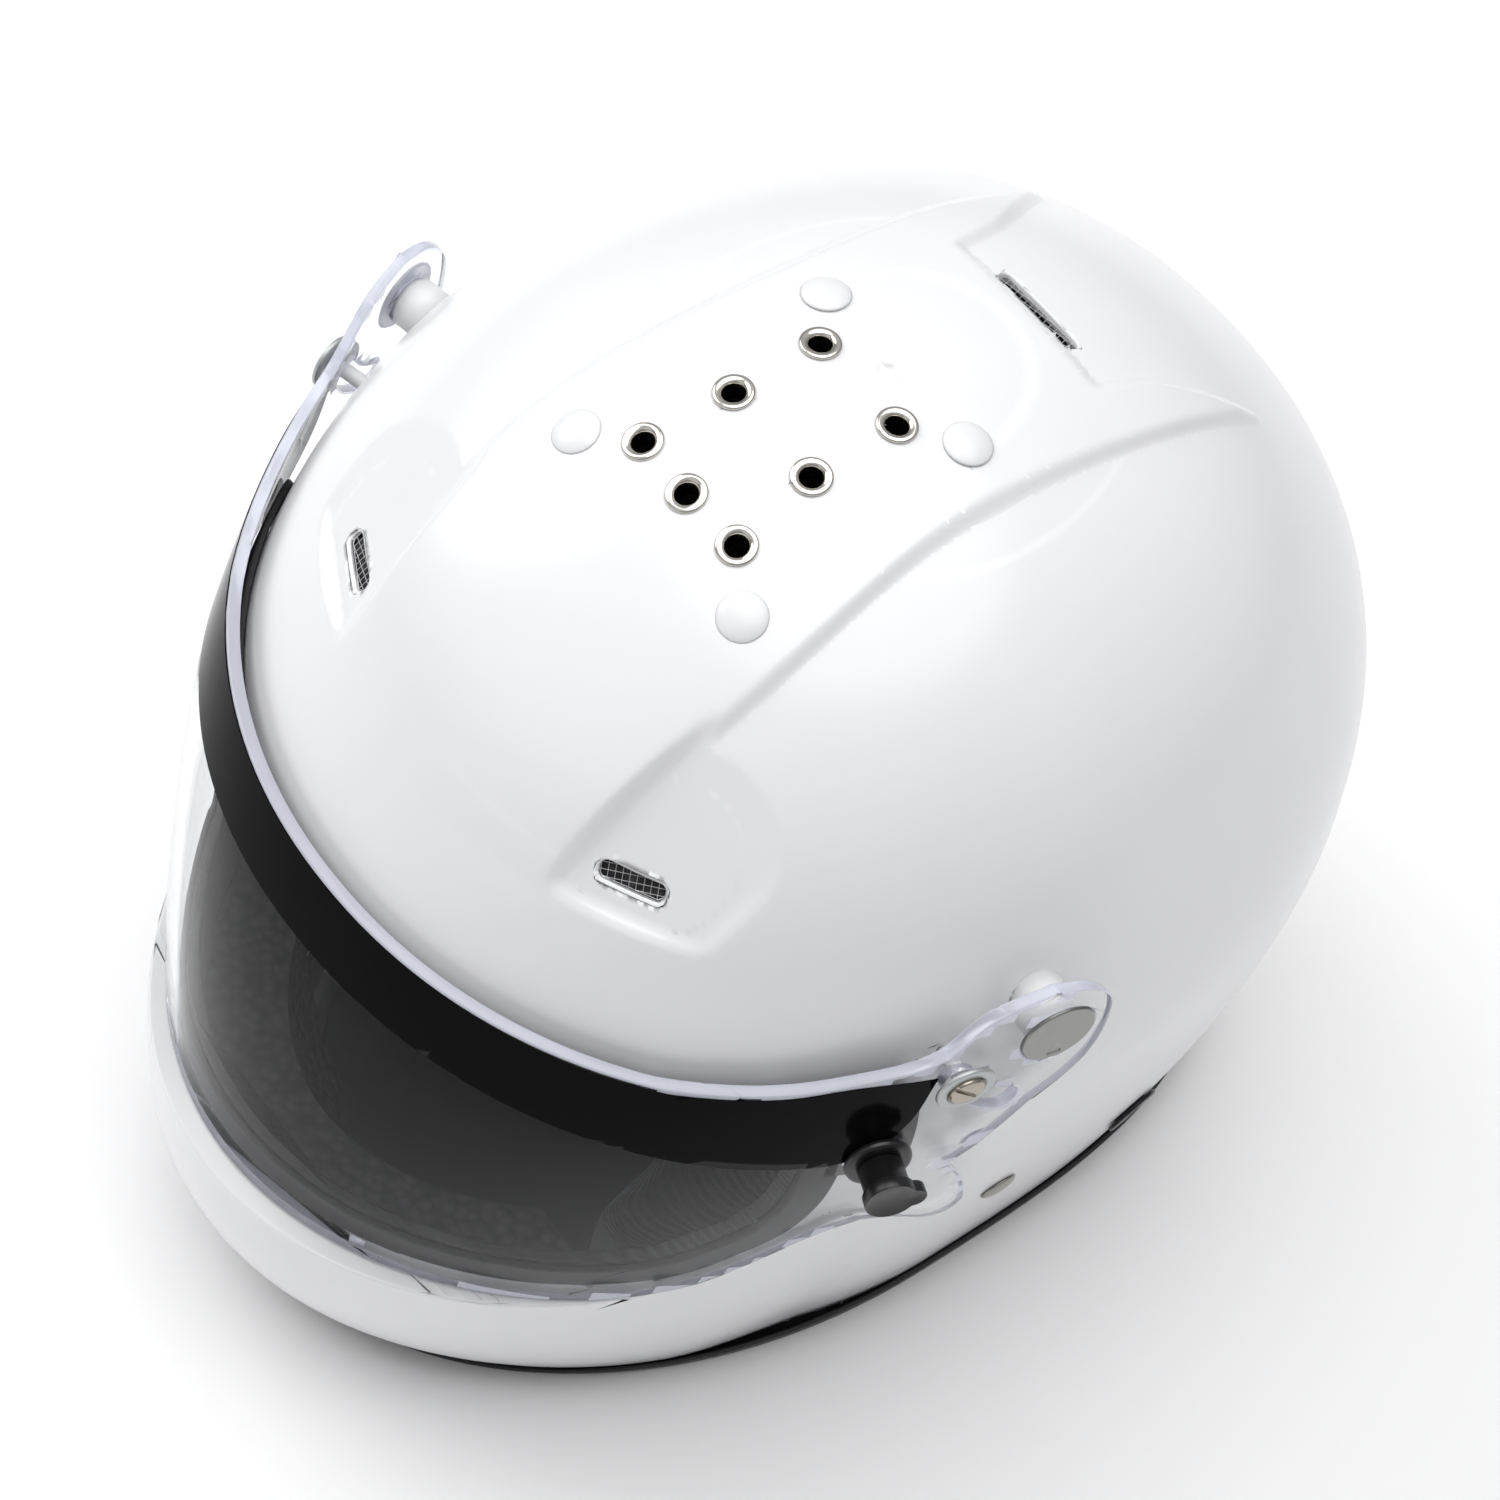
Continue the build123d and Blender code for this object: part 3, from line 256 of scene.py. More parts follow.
def lathe(profile, where, steps=56, closed=False):
    """Profile of radius and height turned about the plane's normal."""
    shape = bmesh.new()
    verts = [shape.verts.new((radius, 0, height)) for radius, height in profile]
    loop = verts + verts[:1] if closed else verts
    edges = [shape.edges.new(pair) for pair in zip(loop, loop[1:])]
    bmesh.ops.spin(shape, geom=verts + edges, axis=(0, 0, 1), cent=(0, 0, 0), angle=math.tau,
                   steps=steps, use_merge=True)
    bmesh.ops.remove_doubles(shape, verts=shape.verts, dist=1e-4)
    bmesh.ops.recalc_face_normals(shape, faces=shape.faces)
    bmesh.ops.transform(shape, matrix=where, verts=shape.verts)
    return shape


def rod(where, radius, start, end, steps=40):
    return lathe([(0, start), (radius, start), (radius, end), (0, end)], where, steps)


def add_object(name, data):
    piece = bpy.data.objects.new(name, data)
    scene.collection.objects.link(piece)
    return piece


def as_mesh(name, shape):
    mesh = bpy.data.meshes.new(name)
    shape.to_mesh(mesh)
    shape.free()
    return mesh


def solid(name, *shapes):
    """Object holding one or more shapes, still in millimetres."""
    whole = bmesh.new()
    for shape in shapes:
        part = as_mesh(name, shape)
        whole.from_mesh(part)
        bpy.data.meshes.remove(part)
    return add_object(name, as_mesh(name, whole))


def settle(piece):
    """Applies the piece's modifiers to its mesh."""
    graph = bpy.context.evaluated_depsgraph_get()
    graph.update()
    mesh = bpy.data.meshes.new_from_object(piece.evaluated_get(graph))
    piece.modifiers.clear()
    piece.data = mesh
    return piece


def carve(piece, tool, way="DIFFERENCE"):
    cut = piece.modifiers.new("carve", "BOOLEAN")
    cut.object, cut.operation, cut.solver = tool, way, "EXACT"
    settle(piece)
    old = tool.data
    bpy.data.objects.remove(tool)
    bpy.data.meshes.remove(old)
    return piece


def soften(piece, width, angle=32, segments=3, merge=0.06):
    """Merges slivers and rounds the edges."""
    shape = bmesh.new()
    shape.from_mesh(piece.data)
    bmesh.ops.remove_doubles(shape, verts=shape.verts, dist=merge)
    bmesh.ops.dissolve_degenerate(shape, edges=shape.edges, dist=merge / 2)
    shape.to_mesh(piece.data)
    shape.free()
    edge = piece.modifiers.new("edge", "BEVEL")
    edge.width, edge.segments, edge.limit_method = width, segments, "ANGLE"
    edge.angle_limit, edge.use_clamp_overlap = math.radians(angle), False
    return settle(piece)


POLE, ON_FORM, FACING = 12.0, 0.03, 0.985


def polish(piece, *forms):
    """Smooth shading; where a face lies on one of the forms, its normals are the form's own."""
    mesh = piece.data
    mesh.shade_smooth()
    points = coordinates(piece)
    found = np.zeros_like(points)
    for size in forms:
        normals, away = form_normals(points, **size)
        pole = np.clip(np.hypot(points[:, 0], points[:, 1] - CROWN_Y) / POLE, 0, 1)[:, None]
        normals = normals * pole + np.array((0, 0, 1)) * (1 - pole)
        normals /= np.linalg.norm(normals, axis=1)[:, None]
        for rise in (0.0, BAND_RISE):
            near = np.abs(away - rise) < ON_FORM
            found[near] = normals[near]
    corners = np.array([loop.vertex_index for loop in mesh.loops])
    faces = np.zeros((len(corners), 3))
    for face in mesh.polygons:
        faces[face.loop_start:face.loop_start + face.loop_total] = face.normal
    agree = np.einsum("ij,ij->i", found[corners], faces)
    chosen = np.where(np.abs(agree)[:, None] > FACING, found[corners] * np.sign(agree)[:, None], 0)
    mesh.normals_split_custom_set(chosen.tolist())
    return piece


handed = []


def hand_over(piece, body, slot, *replaced):
    """Metres, a body to ride on, a material slot and the nodes it stands for."""
    handed.append((piece, slot))
    piece.data.transform(Matrix.Scale(0.001, 4))
    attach(piece, body)
    if replaced:
        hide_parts(*replaced)
    print(piece.name, len(piece.data.polygons), "faces, rides on", body)
    return piece


def turned(name, profile, planes, body, slot, *replaced, steps=56, closed=False):
    """Copies of one lathed profile, handed over as one smooth piece."""
    piece = solid(name, *[lathe(profile, where, steps, closed) for where in planes])
    piece.data.shade_smooth()
    return hand_over(piece, body, slot, *replaced)


print("helpers ready")

# %% [markdown]
# ## The shell
# The real shell is laid up in one mould: crown, cheeks and a chin bar that stands about a
# centimetre proud, with a ledge along its top for the shield to close on. A low raised band runs
# over the crown and fades into the forehead. It could be sculpted from one mesh, but hard features
# such as the ledge and the slots are what cuts do best. So the crown's skin, with its band raised
# and its vent pockets sunk, is joined to the chin bar's skin, and then the openings are cut.

# %% Side outlines


def side_run(shares):
    """Side-view points from shares of the front reach and of the height."""
    return [(CROWN_Y - ahead * FRONT, up * TOP) for ahead, up in shares]


def plan_run(shares):
    """Plan points from shares of the half width and of the front reach."""
    return [(x * SIDE, CROWN_Y - y * FRONT) for x, y in shares]


BEFORE, BELOW, PORT_CUT = CROWN_Y - FRONT * 1.3, -60.0, 8.0
lower_edge = side_run([(0.95, 0.2655), (0.83, 0.271), (0.711, 0.284), (0.61, 0.313), (0.542, 0.359),
                       (0.489, 0.401), (0.45, 0.421), (0.412, 0.432)])
ledge = [(y, z - 1.2) for y, z in lower_edge + side_run([(0.365, 0.42), (0.30, 0.395)])]
chin_end = CROWN_Y - FRONT * 0.16
ledge_run = curve_through(ledge, 6)
chin_outline = ([(BEFORE, ledge[0][1])] + ledge_run
                + [(chin_end, ledge[-1][1]), (chin_end, BELOW), (BEFORE, BELOW)])
seal_edge = side_run([(0.95, 0.278), (0.745, 0.295), (0.61, 0.326), (0.545, 0.37), (0.51, 0.398),
                      (0.487, 0.43), (0.474, 0.47), (0.47, 0.52), (0.472, 0.56), (0.482, 0.595),
                      (0.51, 0.618), (0.58, 0.627), (0.80, 0.621)])


def moved_in(run, amount):
    """Points of a run moved to its left."""
    moved = []
    for index, (y, z) in enumerate(run):
        before, after = run[max(index - 1, 0)], run[min(index + 1, len(run) - 1)]
        length = math.hypot(after[0] - before[0], after[1] - before[1])
        moved.append((y - amount * (after[1] - before[1]) / length,
                      z + amount * (after[0] - before[0]) / length))
    return moved


def port_outline(amount):
    edge = moved_in(seal_edge, amount)
    return [(BEFORE, edge[0][1])] + curve_through(edge, 6) + [(BEFORE, edge[-1][1])]


print("ledge from z", round(ledge[0][1], 1), "to", round(max(z for _, z in ledge), 1))

# %% Soft features of the crown
band_run = plan_run([(0.325, 0.735), (0.356, 0.425), (0.318, 0.062), (0.321, -0.334), (0.323, -0.568)])
band_tail = plan_run([(0.22, -0.384), (0.198, -0.284)])
band_half = curve_through(band_run, 6)[:-1] + curve_through(band_run[-1:] + band_tail, 2)
band_plan = [(0.0, CROWN_Y - FRONT * 0.8)] + band_half + [(-x, y) for x, y in reversed(band_half)]
pocket_plan = plan_run([(0.31, 0.78), (0.345, 0.425), (0.565, 0.43), (0.60, 0.52), (0.58, 0.66),
                        (0.52, 0.78)])
SLOT = Vector((54.4, -97.4, 204.6))
SLOT_TURN, FLOOR_LEAN = math.radians(29.5), math.radians(38.0)
SLOT_WIDTH, REAR_SLOT_Y, FEATURES_FROM = 3.6, 55.5, 186.0


def soft_step(value, low, high):
    part = np.clip((value - low) / (high - low), 0, 1)
    return part * part * (3 - 2 * part)


def depth_inside(points, outline):
    """How far inside a plan outline each point is, below zero outside."""
    spots = points[:, None, :2]
    first = np.array(outline)[None]
    run = np.roll(first, -1, axis=1) - first
    along = np.clip(((spots - first) * run).sum(-1) / (run ** 2).sum(-1), 0, 1)
    away = np.linalg.norm(spots - first - along[..., None] * run, axis=-1).min(axis=1)
    last = first + run
    spans = (first[..., 1] > spots[..., 1]) != (last[..., 1] > spots[..., 1])
    rise = np.where(np.abs(run[..., 1]) < 1e-9, 1e-9, run[..., 1])
    crossing = first[..., 0] + (spots[..., 1] - first[..., 1]) / rise * run[..., 0]
    inside = ((spans & (spots[..., 0] < crossing)).sum(axis=1) % 2) == 1
    return np.where(inside, away, -away)


def shape_crown(points, outer):
    """Raises the band and sinks the two vent pockets on the outer wall."""
    normals = form_normals(points, lift=-BAND_RISE)[0]
    high = outer & (points[:, 2] > FEATURES_FROM)
    raised = soft_step(depth_inside(points, band_plan), -1.9, 1.9)
    raised = BAND_RISE * raised * soft_step(points[:, 2], 192.0, 222.0)
    points = np.where(high[:, None], points + normals * raised[:, None], points)
    for side in (1, -1):
        out = np.array((side * math.sin(SLOT_TURN) * math.cos(FLOOR_LEAN),
                        -math.cos(SLOT_TURN) * math.cos(FLOOR_LEAN), math.sin(FLOOR_LEAN)))
        seat = np.array((side * SLOT.x, SLOT.y, SLOT.z)) - out * 3.0
        above = np.clip((points - seat) @ out, 0, None)
        edge = soft_step(depth_inside(points * (side, 1, 1), pocket_plan), -1.4, 2.6)
        sunk = above * edge * soft_step(points[:, 2], 197.0, 200.5)
        points = np.where(high[:, None], points - out * sunk[:, None], points)
    return points


print("band outline:", len(band_plan), "points")

# %% Join crown and chin bar
crown = skin({"lift": -BAND_RISE}, {"grow": -3.5, "lift": -BAND_RISE}, RIM, fine_over=0.68)
points = coordinates(crown)
outer = form_normals(points, lift=-BAND_RISE)[1] > -1.0
place(crown, shape_crown(points, outer))
shell = solid("shell_body", crown)
bar = skin({"proud": CHIN_PROUD}, {"grow": -1.8}, RIM + 0.05)
points = coordinates(bar)
tuck, away = form_normals(points)
sink = (1 - soft_step(CROWN_Y - points[:, 1], 24.0, 78.0)) * np.clip(away + 0.5, 0, None)
place(bar, points - tuck * sink[:, None])
chin = solid("chin", bar)
carve(chin, solid("chin_side", side_prism(chin_outline)), "INTERSECT")
carve(shell, chin, "UNION")
print("shell joined:", len(shell.data.polygons), "faces")

# %% [markdown]
# What is crisp on the real shell is cut: the eye port, the three vent slots, and the holes for the
# eyelets, plugs, screws and rivets. All the cutters go into one object, so one cut does it.

# %% Cut the slots and holes


def stadium(half, width, steps=12):
    """Outline of a slot with round ends."""
    arc = [(math.cos(a), math.sin(a)) for a in np.linspace(-math.pi / 2, math.pi / 2, steps + 1)]
    right = [(half - width / 2 + width / 2 * c, width / 2 * s) for c, s in arc]
    return right + [(-x, -y) for x, y in right]


def slot_matrix(side):
    out, along = math.sin(SLOT_TURN), math.cos(SLOT_TURN)
    return plane((side * SLOT.x, SLOT.y, SLOT.z), (side * out, -along, 0), (along, side * out, 0))


def slot_cutter(side):
    shape = prism([(x, y, -14.0) for x, y in stadium(8.2, SLOT_WIDTH)], (0, 0, 28.0))
    bmesh.ops.transform(shape, matrix=slot_matrix(side), verts=shape.verts)
    return shape


def both_sides(shares):
    spots = plan_run(shares)
    return spots + [(-x, y) for x, y in spots if x > 0]


eyelet_spots = both_sides([(0.136, 0.345), (0.112, 0.204), (0.11, 0.049), (0, 0.351)])
eyelet_planes = [crown_plane(x, y) for x, y in eyelet_spots]
plug_planes = [crown_plane(x, y) for x, y in both_sides([(0.242, 0.394), (0.204, -0.024)])]
axle = [plane((0, *PIVOT), (side, 0, 0), (0, 0, 1)) for side in (1, -1)]

rear_slot = prism([(x, y + REAR_SLOT_Y, REAR_FULL) for x, y in stadium(13.5, SLOT_WIDTH)], (0, 0, 180.0))
cutters = [rear_slot, side_prism(port_outline(PORT_CUT))] + [slot_cutter(side) for side in (1, -1)]
for planes, radius, start, end in ((eyelet_planes, 3.2, -9, 9), (plug_planes, 3.55, -9, 9),
                                   (anchor_planes, 5.05, -12, 12), (rivet_planes, 2.55, -12, 12),
                                   (guide_planes, 2.3, -20, 0), (guide_planes, 4.05, -20, -12.9),
                                   (axle, 4.05, 100, 130)):
    cutters += [rod(where, radius, start, end) for where in planes]
carve(shell, solid("openings", *cutters))
print("shell cut:", len(shell.data.polygons), "faces")

# %% Round the shell's edges and give it its own normals
soften(shell, 0.9, angle=48, segments=4)
inner_form = {"grow": -3.5, "lift": -BAND_RISE}
polish(shell, {"lift": -BAND_RISE}, {}, inner_form, {"proud": CHIN_PROUD})
shell_points = coordinates(shell)
under_skin = form_normals(shell_points, lift=-BAND_RISE)[1] < -0.9
on_inner = np.abs(form_normals(shell_points, **inner_form)[1]) < 0.05
port_edge = np.abs(depth_inside(shell_points[:, [1, 2, 0]], port_outline(PORT_CUT))) < 0.95
inside_now = port_edge | np.where(shell_points[:, 2] < FEATURES_FROM, under_skin, on_inner)
for face in shell.data.polygons:
    face.material_index = int(all(inside_now[index] for index in face.vertices))
hand_over(shell, "shell", "gelcoat", "outer_shell")

# %% [markdown]
# ## The rubber on the rim and round the eye port
# The rim's edging is an extrusion pushed over the cut edge. Its section is a U, so it is turned on
# a lathe, and each point of the turned ring is then carried to the rim: its radius becomes the
# distance from the shell's wall. The eye port's seal is a flat strip that follows the form.

# %% Rubber
U_SECTION = [(1.8, 0.9), (1.8, 5.2), (1.45, 5.85), (0.75, 5.85), (0.4, 5.3), (0.4, 1.5), (-3.9, 1.5),
             (-3.9, 5.3), (-4.3, 5.85), (-4.9, 5.85), (-5.3, 5.2), (-5.3, 0.9), (-4.4, 0.05), (0.9, 0.05)]
ring = lathe([(100.0 + grow, z) for grow, z in U_SECTION], Matrix(), 220, closed=True)
points = coordinates(ring)
grow = np.hypot(points[:, 0], points[:, 1]) - 100.0
turn = np.arctan2(points[:, 0], -points[:, 1])
near_chin, near_wall = (np.array([on_form(turn[i:i + 1], points[i:i + 1, 2], grow=grow[i], **size)[0]
                                  for i in range(len(points))]) for size in ({"proud": CHIN_PROUD}, {}))
place(ring, np.where((grow > -1.75)[:, None], near_chin, near_wall))
bmesh.ops.recalc_face_normals(ring, faces=ring.faces)
trim = solid("rim_rubber", ring)
trim.data.shade_smooth()
hand_over(trim, "shell", "trim_rubber", "shell_edge_trim")

seal = solid("port_seal", skin({"grow": 2.0}, {"grow": 0.1}, 40.0))
carve(seal, solid("seal_outer", side_prism(port_outline(0.0))), "INTERSECT")
carve(seal, solid("seal_inner", side_prism(port_outline(PORT_CUT))))
ROOM, ROOM_Y, ROOM_TOP, ROOM_LOW = 6.6, -63.4, 164.0, 139.9
room = [(ROOM_Y + ROOM * math.cos(a), ROOM_TOP + ROOM * math.sin(a)) for a in np.linspace(0, math.pi, 25)]
room += [(ROOM_Y - ROOM, ROOM_LOW), (ROOM_Y + ROOM, ROOM_LOW)]
carve(seal, solid("catch_room", side_prism(room, 60.0, 150.0)))
soften(seal, 0.55, segments=3)
polish(seal, {"grow": 2.0}, {"grow": 0.1})
hand_over(seal, "shell", "seal_rubber", "eyeport_gasket")

# %% [markdown]
# ## The shield
# The shield is 3 mm of clear polycarbonate, moulded to the shell's curve in plan but upright at the
# sides, so that it can turn. Its outline has a low lobe at the latch, a narrow waist and an ear at
# each pivot. We cut it from a grown double skin with one prism, then cut the pivot's seat, the arc
# slot for the guide screw and the latch's hole. A moulded edge is rounded a little, which is what
# catches the light along the top.

# %% Shield outline
lobe = side_run([(0.412, 0.432), (0.365, 0.421), (0.325, 0.4045), (0.29, 0.387), (0.262, 0.379),
                 (0.238, 0.381), (0.227, 0.397), (0.239, 0.428), (0.275, 0.48), (0.32, 0.524)])
top_edge = side_run([(0.70, 0.643), (0.58, 0.656), (0.488, 0.6725), (0.386, 0.695), (0.316, 0.745)])
EAR, PANEL_LOW = 15.0, 40.0
ear = [(PIVOT[0] + y * EAR, PIVOT[1] + z * EAR) for y, z in
       [(-0.227, 1.16), (0.42, 0.96), (0.82, 0.527), (0.92, 0.0), (0.887, -0.573),
        (0.733, -1.04), (0.367, -1.473), (-0.067, -1.813)]]
shield_outline = ([(BEFORE, 0.2645 * TOP)] + curve_through(lower_edge)[:-1] + curve_through(lobe)
                  + curve_through(ear[::-1])[:-1] + curve_through([ear[0]] + top_edge[::-1])
                  + [(BEFORE, 0.639 * TOP)])


def arc_slot(side, half=3.7):
    """Cutter for the guide screw's path, an arc about the pivot with round ends."""
    turns = np.linspace(GUIDE_TURN, SLOT_END, 20)
    far_side, near_side = ([round_pivot(GUIDE_REACH + reach, a) for a in turns]
                           for reach in (half, -half))
    caps = []
    for angle, base in ((SLOT_END, SLOT_END), (GUIDE_TURN, GUIDE_TURN + 180)):
        middle = round_pivot(GUIDE_REACH, angle)
        around = np.radians(base + np.linspace(15, 165, 11))
        caps.append([(middle[0] + half * math.cos(a), middle[1] + half * math.sin(a)) for a in around])
    outline = far_side + caps[0] + near_side[::-1] + caps[1]
    return side_prism(outline, *sorted((side * 60.0, side * 150.0)))


print("shield outline:", len(shield_outline), "points")

# %% Cut the shield and its dark strip
shield = solid("clear_shield_panel", skin(SHIELD, SHIELD_BACK, PANEL_LOW))
carve(shield, solid("shield_side", side_prism(shield_outline)), "INTERSECT")
holes = [rod(where, 9.45, -1.15, 4.0, 72) for where in pivot_planes]
carve(shield, solid("disc_seats", *holes))
holes = [rod(where, 6.0, 60, 140) for where in axle] + [arc_slot(side) for side in (1, -1)]
holes += [rod(latch_plane, 4.55, -9.0, 3.0)]
carve(shield, solid("shield_holes", *holes))
soften(shield, 0.45, segments=2, merge=0.03)
polish(shield, SHIELD, SHIELD_BACK)
shield_points = coordinates(shield)
on_face = [np.abs(form_normals(shield_points, **size)[1]) < 0.02 for size in (SHIELD, SHIELD_BACK)]
for face in shield.data.polygons:
    rows = list(face.vertices)
    face.material_index = int(not (on_face[0][rows].all() or on_face[1][rows].all()))
hand_over(shield, "shield_frame", "clear_shield", "shield")

strip_low = side_run([(0.385, 0.6748), (0.4154, 0.611), (0.4816, 0.5677), (0.5667, 0.5602),
                      (0.6667, 0.5602), (0.8416, 0.571), (0.95, 0.5795)])
strip_top = [(y, z - 0.9) for y, z in top_edge[:3]] + [strip_low[0]]
strip_outline = ([(BEFORE, strip_low[-1][1])] + curve_through(strip_low[::-1])[:-1]
                 + curve_through(strip_top[::-1]) + [(BEFORE, strip_top[0][1])])
film_forms = [{"grow": 5.85, "upright": True}, {"grow": 5.62, "upright": True}]
strip = solid("dark_strip", skin(*film_forms, PANEL_LOW))
carve(strip, solid("strip_side", side_prism(strip_outline)), "INTERSECT")
polish(strip, *film_forms)
hand_over(strip, "shield_frame", "strip_film", "shield_sunstrip")

# %% [markdown]
# ## Pivots, screws and the latch
# These are turned parts, so a lathe profile with its small radii drawn in makes them best: the edge
# of a satin disc is what tells it from a sticker. The slot of each screw is a saw cut, made with a
# block. The knob has one finger lobe, so its head is an extruded outline instead.

# %% Turned fittings


def box_cutter(where, width, length, low, high):
    shape = bmesh.new()
    bmesh.ops.create_cube(shape, size=1)
    bmesh.ops.scale(shape, vec=(width, length, high - low), verts=shape.verts)
    bmesh.ops.translate(shape, vec=(0, 0, (low + high) / 2), verts=shape.verts)
    bmesh.ops.transform(shape, matrix=where, verts=shape.verts)
    return shape


DISC = [(0, -0.35), (6.2, -0.35), (6.2, -1.1), (9.0, -1.1), (9.2, -0.9), (9.2, 0.0), (9.05, 0.25),
        (8.8, 0.34), (8.3, 0.35), (0, 0.35)]
WASHER = [(2.1, 1.3), (7.0, 1.3), (7.3, 1.5), (7.3, 2.35), (7.05, 2.58), (5.1, 2.6), (4.9, 2.4),
          (4.7, 1.75), (2.1, 1.7)]
SCREW = [(0, -16), (1.7, -16), (2.0, -15.6), (2.0, 1.8), (4.1, 1.8), (4.3, 2.0), (4.3, 2.9),
         (4.1, 3.25), (3.5, 3.5), (0, 3.6)]
BUSH = [(0, -13), (6.9, -13), (6.9, -4.2), (5.9, -3.4), (5.9, -1.2), (0, -1.2)]
INSERT = [(2.15, -20), (3.7, -20), (3.7, -13), (2.15, -13)]
SIDE_NAMES = ("left", "right")

for side_name, pivot_at, guide_at in zip(SIDE_NAMES, pivot_planes, guide_planes):
    disc = solid("pivot_cap_" + side_name, lathe(DISC, pivot_at, 96))
    notch_at = pivot_at @ Matrix.Translation((-6.9, 0, 0))
    carve(disc, solid("mark", box_cutter(notch_at, 1.1, 3.2, 0.1, 2.0)))
    soften(disc, 0.12, segments=2, merge=0.01)
    disc.data.shade_smooth()
    hand_over(disc, "shield_frame", "satin_disc", "pivot_disc_" + side_name)
    turned("washer_" + side_name, WASHER, [guide_at], "guide_" + side_name, "washer_alloy",
           "guide_washer_" + side_name, steps=72, closed=True)
    screw = solid("slotted_screw_" + side_name, lathe(SCREW, guide_at, 64))
    saw_at = guide_at @ Matrix.Rotation(math.radians(-40), 4, "Z")
    carve(screw, solid("saw", box_cutter(saw_at, 1.1, 12.0, 2.7, 6.0)))
    soften(screw, 0.1, segments=2, merge=0.01)
    outward = guide_at.to_3x3() @ Vector((0, 0, 1))
    for face in screw.data.polygons:
        face.material_index = int((face.center - guide_at.translation).dot(outward) < 0.0)
    screw.data.shade_smooth()
    hand_over(screw, "guide_" + side_name, "bright_screw", "guide_screw_" + side_name)

for side_name, where in zip(SIDE_NAMES, pivot_planes):
    turned("pivot_bush_" + side_name, BUSH, [where], "shell", "bush_plastic", "pivot_post_" + side_name,
           steps=64)
inserts = solid("threaded_inserts", *[lathe(INSERT, where, 48, closed=True) for where in guide_planes])
hand_over(inserts, "shell", "insert_brass", "guide_inserts")

# %% Latch
flange = lathe([(0, 7.1), (3.5, 7.1), (3.5, -2.8), (4.5, -2.8), (4.5, 0.6), (7.7, 0.6), (8.1, 0.85),
                (8.1, 1.5), (7.85, 2.1), (7.3, 2.5), (6.6, 2.6), (4.5, 2.6), (4.5, 8.3), (4.2, 8.6),
                (0, 8.6)], latch_plane, 72)
hand_over(solid("latch_bush", flange), "shield_frame", "knob_plastic", "latch_flange")
HEAD, LOBE, LOBE_AT, HEAD_Z, HEAD_TALL, DISH = 6.25, 3.2, 5.4, 9.4, 3.2, 0.8
outline = []
for turn in np.linspace(0, math.tau, 96, endpoint=False):
    inside = LOBE ** 2 - (LOBE_AT * math.sin(turn)) ** 2
    reach = LOBE_AT * math.cos(turn) + math.sqrt(inside) if inside > 0 else 0.0
    reach = max(HEAD, reach)
    outline.append((reach * math.sin(turn), -reach * math.cos(turn), HEAD_Z))
head = prism(outline, (0, 0, HEAD_TALL))
face = max(head.faces, key=lambda f: f.calc_center_median().z)
bmesh.ops.inset_region(head, faces=[face], thickness=1.5)
bmesh.ops.translate(head, vec=(0, 0, -DISH), verts=face.verts)
bmesh.ops.transform(head, matrix=latch_plane, verts=head.verts)
knob = solid("pull_knob", head)
soften(knob, 0.4, segments=3, merge=0.01)
SLEEVE = [(4.56, 2.95), (5.2, 2.95), (5.4, 3.2), (5.4, 8.9), (5.7, 9.45), (4.56, 9.45)]
collar = solid("knob_sleeve", lathe(SLEEVE, latch_plane, 64, closed=True))
for piece in (knob, collar):
    piece.data.shade_smooth()
    hand_over(piece, "latch_pull", "knob_plastic", *(["latch_knob"] if piece is knob else []))

# %% [markdown]
# ## Crown fittings and vents
# Seven rolled eyelets carry air through the crown, and four domed plugs close duct holes. An eyelet
# is stamped and rolled over, so its lip is a soft ring with a dark throat. The vents are closed
# with fine wire mesh: a square grid turned a little, clipped to the slot and given wire thickness.

# %% Eyelets, plugs, rivets and anchors
eyelet = [(2.6, -5), (3.1, -5), (3.1, 0.2), (4.75, 0.2), (5.0, 0.42), (4.9, 0.78), (4.5, 0.99),
          (3.9, 1.0), (3.3, 0.82), (2.85, 0.45), (2.65, -0.1)]
turned("rolled_eyelets", eyelet, eyelet_planes, "shell", "eyelet_metal", "crown_eyelets", steps=48,
       closed=True)
plug = [(0, -3.4), (3.5, -3.4), (3.5, 0.2), (5.75, 0.15), (6.0, 0.4), (5.6, 0.75), (4.6, 1.2), (3.2, 1.6),
        (1.6, 1.84), (0, 1.9)]
turned("domed_plugs", plug, plug_planes, "shell", "plug_plastic", "duct_plugs")
rivet = [(0, -8.2), (2.5, -8.2), (2.5, 0.2), (5.0, 0.15), (5.2, 0.35), (4.6, 0.85), (3.3, 1.3),
         (1.7, 1.54), (0, 1.6)]
turned("strap_rivet_heads", rivet, rivet_planes, "shell", "rivet_metal", "chin_strap_rivets")
anchor = [(0, -12), (5.0, -12), (5.0, 0.2), (7.7, 0.2), (8.0, 0.45), (8.0, 1.1), (7.6, 1.4), (3.0, 1.4),
          (2.5, 1.0), (2.5, -10), (0, -10)]
turned("restraint_posts", anchor, anchor_planes, "shell", "anchor_metal", "restraint_anchors", steps=64)


